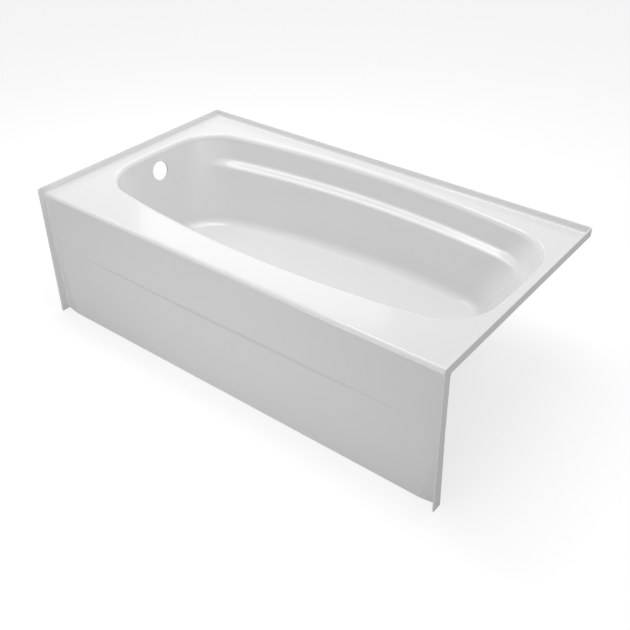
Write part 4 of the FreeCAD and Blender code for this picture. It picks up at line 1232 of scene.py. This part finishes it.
class BATHTUB_OT_feet(bpy.types.Operator):
    """Turn the four levelling feet: pads, threaded studs and lock nuts"""
    bl_idname = "bathtub.feet"
    bl_label = "Levelling feet"

    def execute(self, context):
        sizes = context.scene.bathtub_sizes
        plastic = finish_named("moulded_foot_plastic", pad_plastic, "plastic")
        tree = thread_tree(steel_finish())
        for end, side, x, y in FEET:
            foot = end + "_" + side
            self.turn_pad(foot, x, y, plastic)
            self.turn_stud(foot, x, y, sizes, tree)
            self.cut_nuts(foot, x, y)
        return {"FINISHED"}

    @staticmethod
    def turn_pad(foot, x, y, plastic):
        shell = Shell()
        lathe(shell, PAD_PROFILE, x, y, PAD_STEPS)
        place(shell.mesh("pad_" + foot, PAD_CREASE), foot + "_foot", [foot + "_foot_pad"],
              plastic)

    @staticmethod
    def turn_stud(foot, x, y, sizes, tree):
        low, high = heights(foot + "_foot_stud")
        core = STUD_RADIUS - sizes.thread_ridge / MM
        shell = Shell()
        profile = [(0.01, low), (core - 0.4, low), (core, low + 0.6), (core, STUD_COLLAR[0][1]), *STUD_COLLAR,
                   (core, STUD_COLLAR[-1][1]), (core, high - 1.2), (core - 1.0, high), (0.01, high)]
        lathe(shell, profile, x, y, STUD_STEPS)
        values = {"Radius": STUD_RADIUS * MM, "Pitch": sizes.thread_pitch, "Ridge": sizes.thread_ridge,
                  "Length": (high - THREAD_RUN_OUT - THREAD_FOOT) * MM,
                  "Base": (x * MM, y * MM, THREAD_FOOT * MM)}
        stud = tree.run(shell.mesh("stud_core", STUD_CREASE), values, "stud_" + foot)
        place(stud, foot + "_foot", [foot + "_foot_stud"], steel_finish())

    @staticmethod
    def cut_nuts(foot, x, y):
        low, high = heights(foot + "_lock_nuts")
        shell = Shell()
        for z in (low, high - NUT_HEIGHT):
            nut_rows(shell, x, y, z)
        place(shell.mesh("nuts_" + foot, NUT_CREASE), foot + "_nuts", [foot + "_lock_nuts"],
              steel_finish())


class BATHTUB_OT_stage(bpy.types.Operator):
    """Lay the pale floor, hang the soft lamps and stand the camera"""
    bl_idname = "bathtub.stage"
    bl_label = "Floor, light and camera"

    def execute(self, context):
        scene = context.scene
        stage = scene.bathtub_stage
        scene.view_settings.view_transform = "Standard"
        self.add_camera(scene)
        self.add_world(scene, stage.sky)
        for name, lamp in LAMPS.items():
            self.add_lamp(name + "_softbox", getattr(stage, name + "_power"), *lamp)
        self.add_floor(tuple(stage.floor))
        return {"FINISHED"}

    @staticmethod
    def add_camera(scene):
        data = bpy.data.cameras.new("camera")
        data.sensor_width = SENSOR
        data.lens = LENS
        data.shift_x, data.shift_y = SHIFT
        data.clip_end = VIEW_END
        camera = new_object("camera", data)
        camera.matrix_world = Matrix.Translation(CAMERA_PLACE) @ CAMERA_TURN.to_4x4()
        scene.camera = camera

    @staticmethod
    def add_world(scene, strength):
        world = bpy.data.worlds.new("studio")
        world.use_nodes = True
        nodes = Nodes(world.node_tree, "ShaderNodeOutputWorld")
        lit, seen = [nodes.add("ShaderNodeBackground", None, {"Color": (1, 1, 1, 1), "Strength": level})
                     for level in (strength, 1.0)]
        sky = nodes.add("ShaderNodeMixShader", None, {0: nodes.seen_rays(), 1: lit, 2: seen})
        nodes.put(nodes.output.inputs["Surface"], sky)
        scene.world = world

    @staticmethod
    def add_lamp(name, power, place_m, target, width, height):
        data = bpy.data.lights.new(name, "AREA")
        data.energy = power
        data.shape = "RECTANGLE"
        data.size, data.size_y = width, height
        lamp = new_object(name, data)
        lamp.location = place_m
        lamp.rotation_euler = (Vector(target) - Vector(place_m)).to_track_quat("-Z", "Y").to_euler()

    @staticmethod
    def add_floor(colour):
        mesh = bpy.data.meshes.new("studio_floor")
        corners = [(x * FLOOR_HALF, y * FLOOR_HALF, 0) for x, y in ((-1, -1), (1, -1), (1, 1), (-1, 1))]
        mesh.from_pydata(corners, [], [(0, 1, 2, 3)])
        s = Shader("studio_floor")
        grain = s.noise(3.0, 2.0)
        diffuse = s.add("ShaderNodeBsdfDiffuse", None,
                        {"Color": s.mix(grain, tone(colour, 0.985), colour)})
        glow = s.add("ShaderNodeEmission", None, {"Color": (1, 1, 1, 1), "Strength": FLOOR_GLOW})
        seen = s.add("ShaderNodeAddShader", None, {0: diffuse, 1: glow})
        shader = s.add("ShaderNodeMixShader", None, {0: s.seen_rays(FLOOR_GLOSS), 1: diffuse, 2: seen})
        s.put(s.output.inputs["Surface"], shader)
        mesh.materials.append(s.material)
        new_object("studio_floor", mesh)


class BATHTUB_PT_panel(bpy.types.Panel):
    """Lists the pieces of the tub"""
    bl_idname = "BATHTUB_PT_panel"
    bl_label = "Alcove Bathtub"
    bl_space_type = "VIEW_3D"
    bl_region_type = "UI"
    bl_category = "Bathtub"

    def draw(self, context):
        scene = context.scene
        for group in (scene.bathtub_sizes, scene.bathtub_colours, scene.bathtub_stage):
            box = self.layout.box()
            for name in group.__annotations__:
                box.prop(group, name)
        for operator in PIECES:
            self.layout.operator(operator.bl_idname)


PIECES = (BATHTUB_OT_stage, BATHTUB_OT_skin, BATHTUB_OT_backing, BATHTUB_OT_boards, BATHTUB_OT_rails,
          BATHTUB_OT_screws, BATHTUB_OT_feet)
GROUPS = {"bathtub_sizes": BathtubSizes, "bathtub_colours": BathtubColours, "bathtub_stage": BathtubStage}


def register():
    for item in (*GROUPS.values(), *PIECES, BATHTUB_PT_panel):
        bpy.utils.register_class(item)
    for name, group in GROUPS.items():
        setattr(bpy.types.Scene, name, bpy.props.PointerProperty(type=group))


def unregister():
    for name in GROUPS:
        delattr(bpy.types.Scene, name)
    for item in (BATHTUB_PT_panel, *reversed(PIECES), *reversed(GROUPS.values())):
        bpy.utils.unregister_class(item)


def plain(box):
    """A box as plain lists of numbers."""
    return [[float(value) for value in corner] for corner in box]


def main():
    """Makes every piece."""
    register()
    for operator in PIECES:
        group, name = operator.bl_idname.split(".")
        getattr(getattr(bpy.ops, group), name)()


if __name__ == "__main__":
    main()
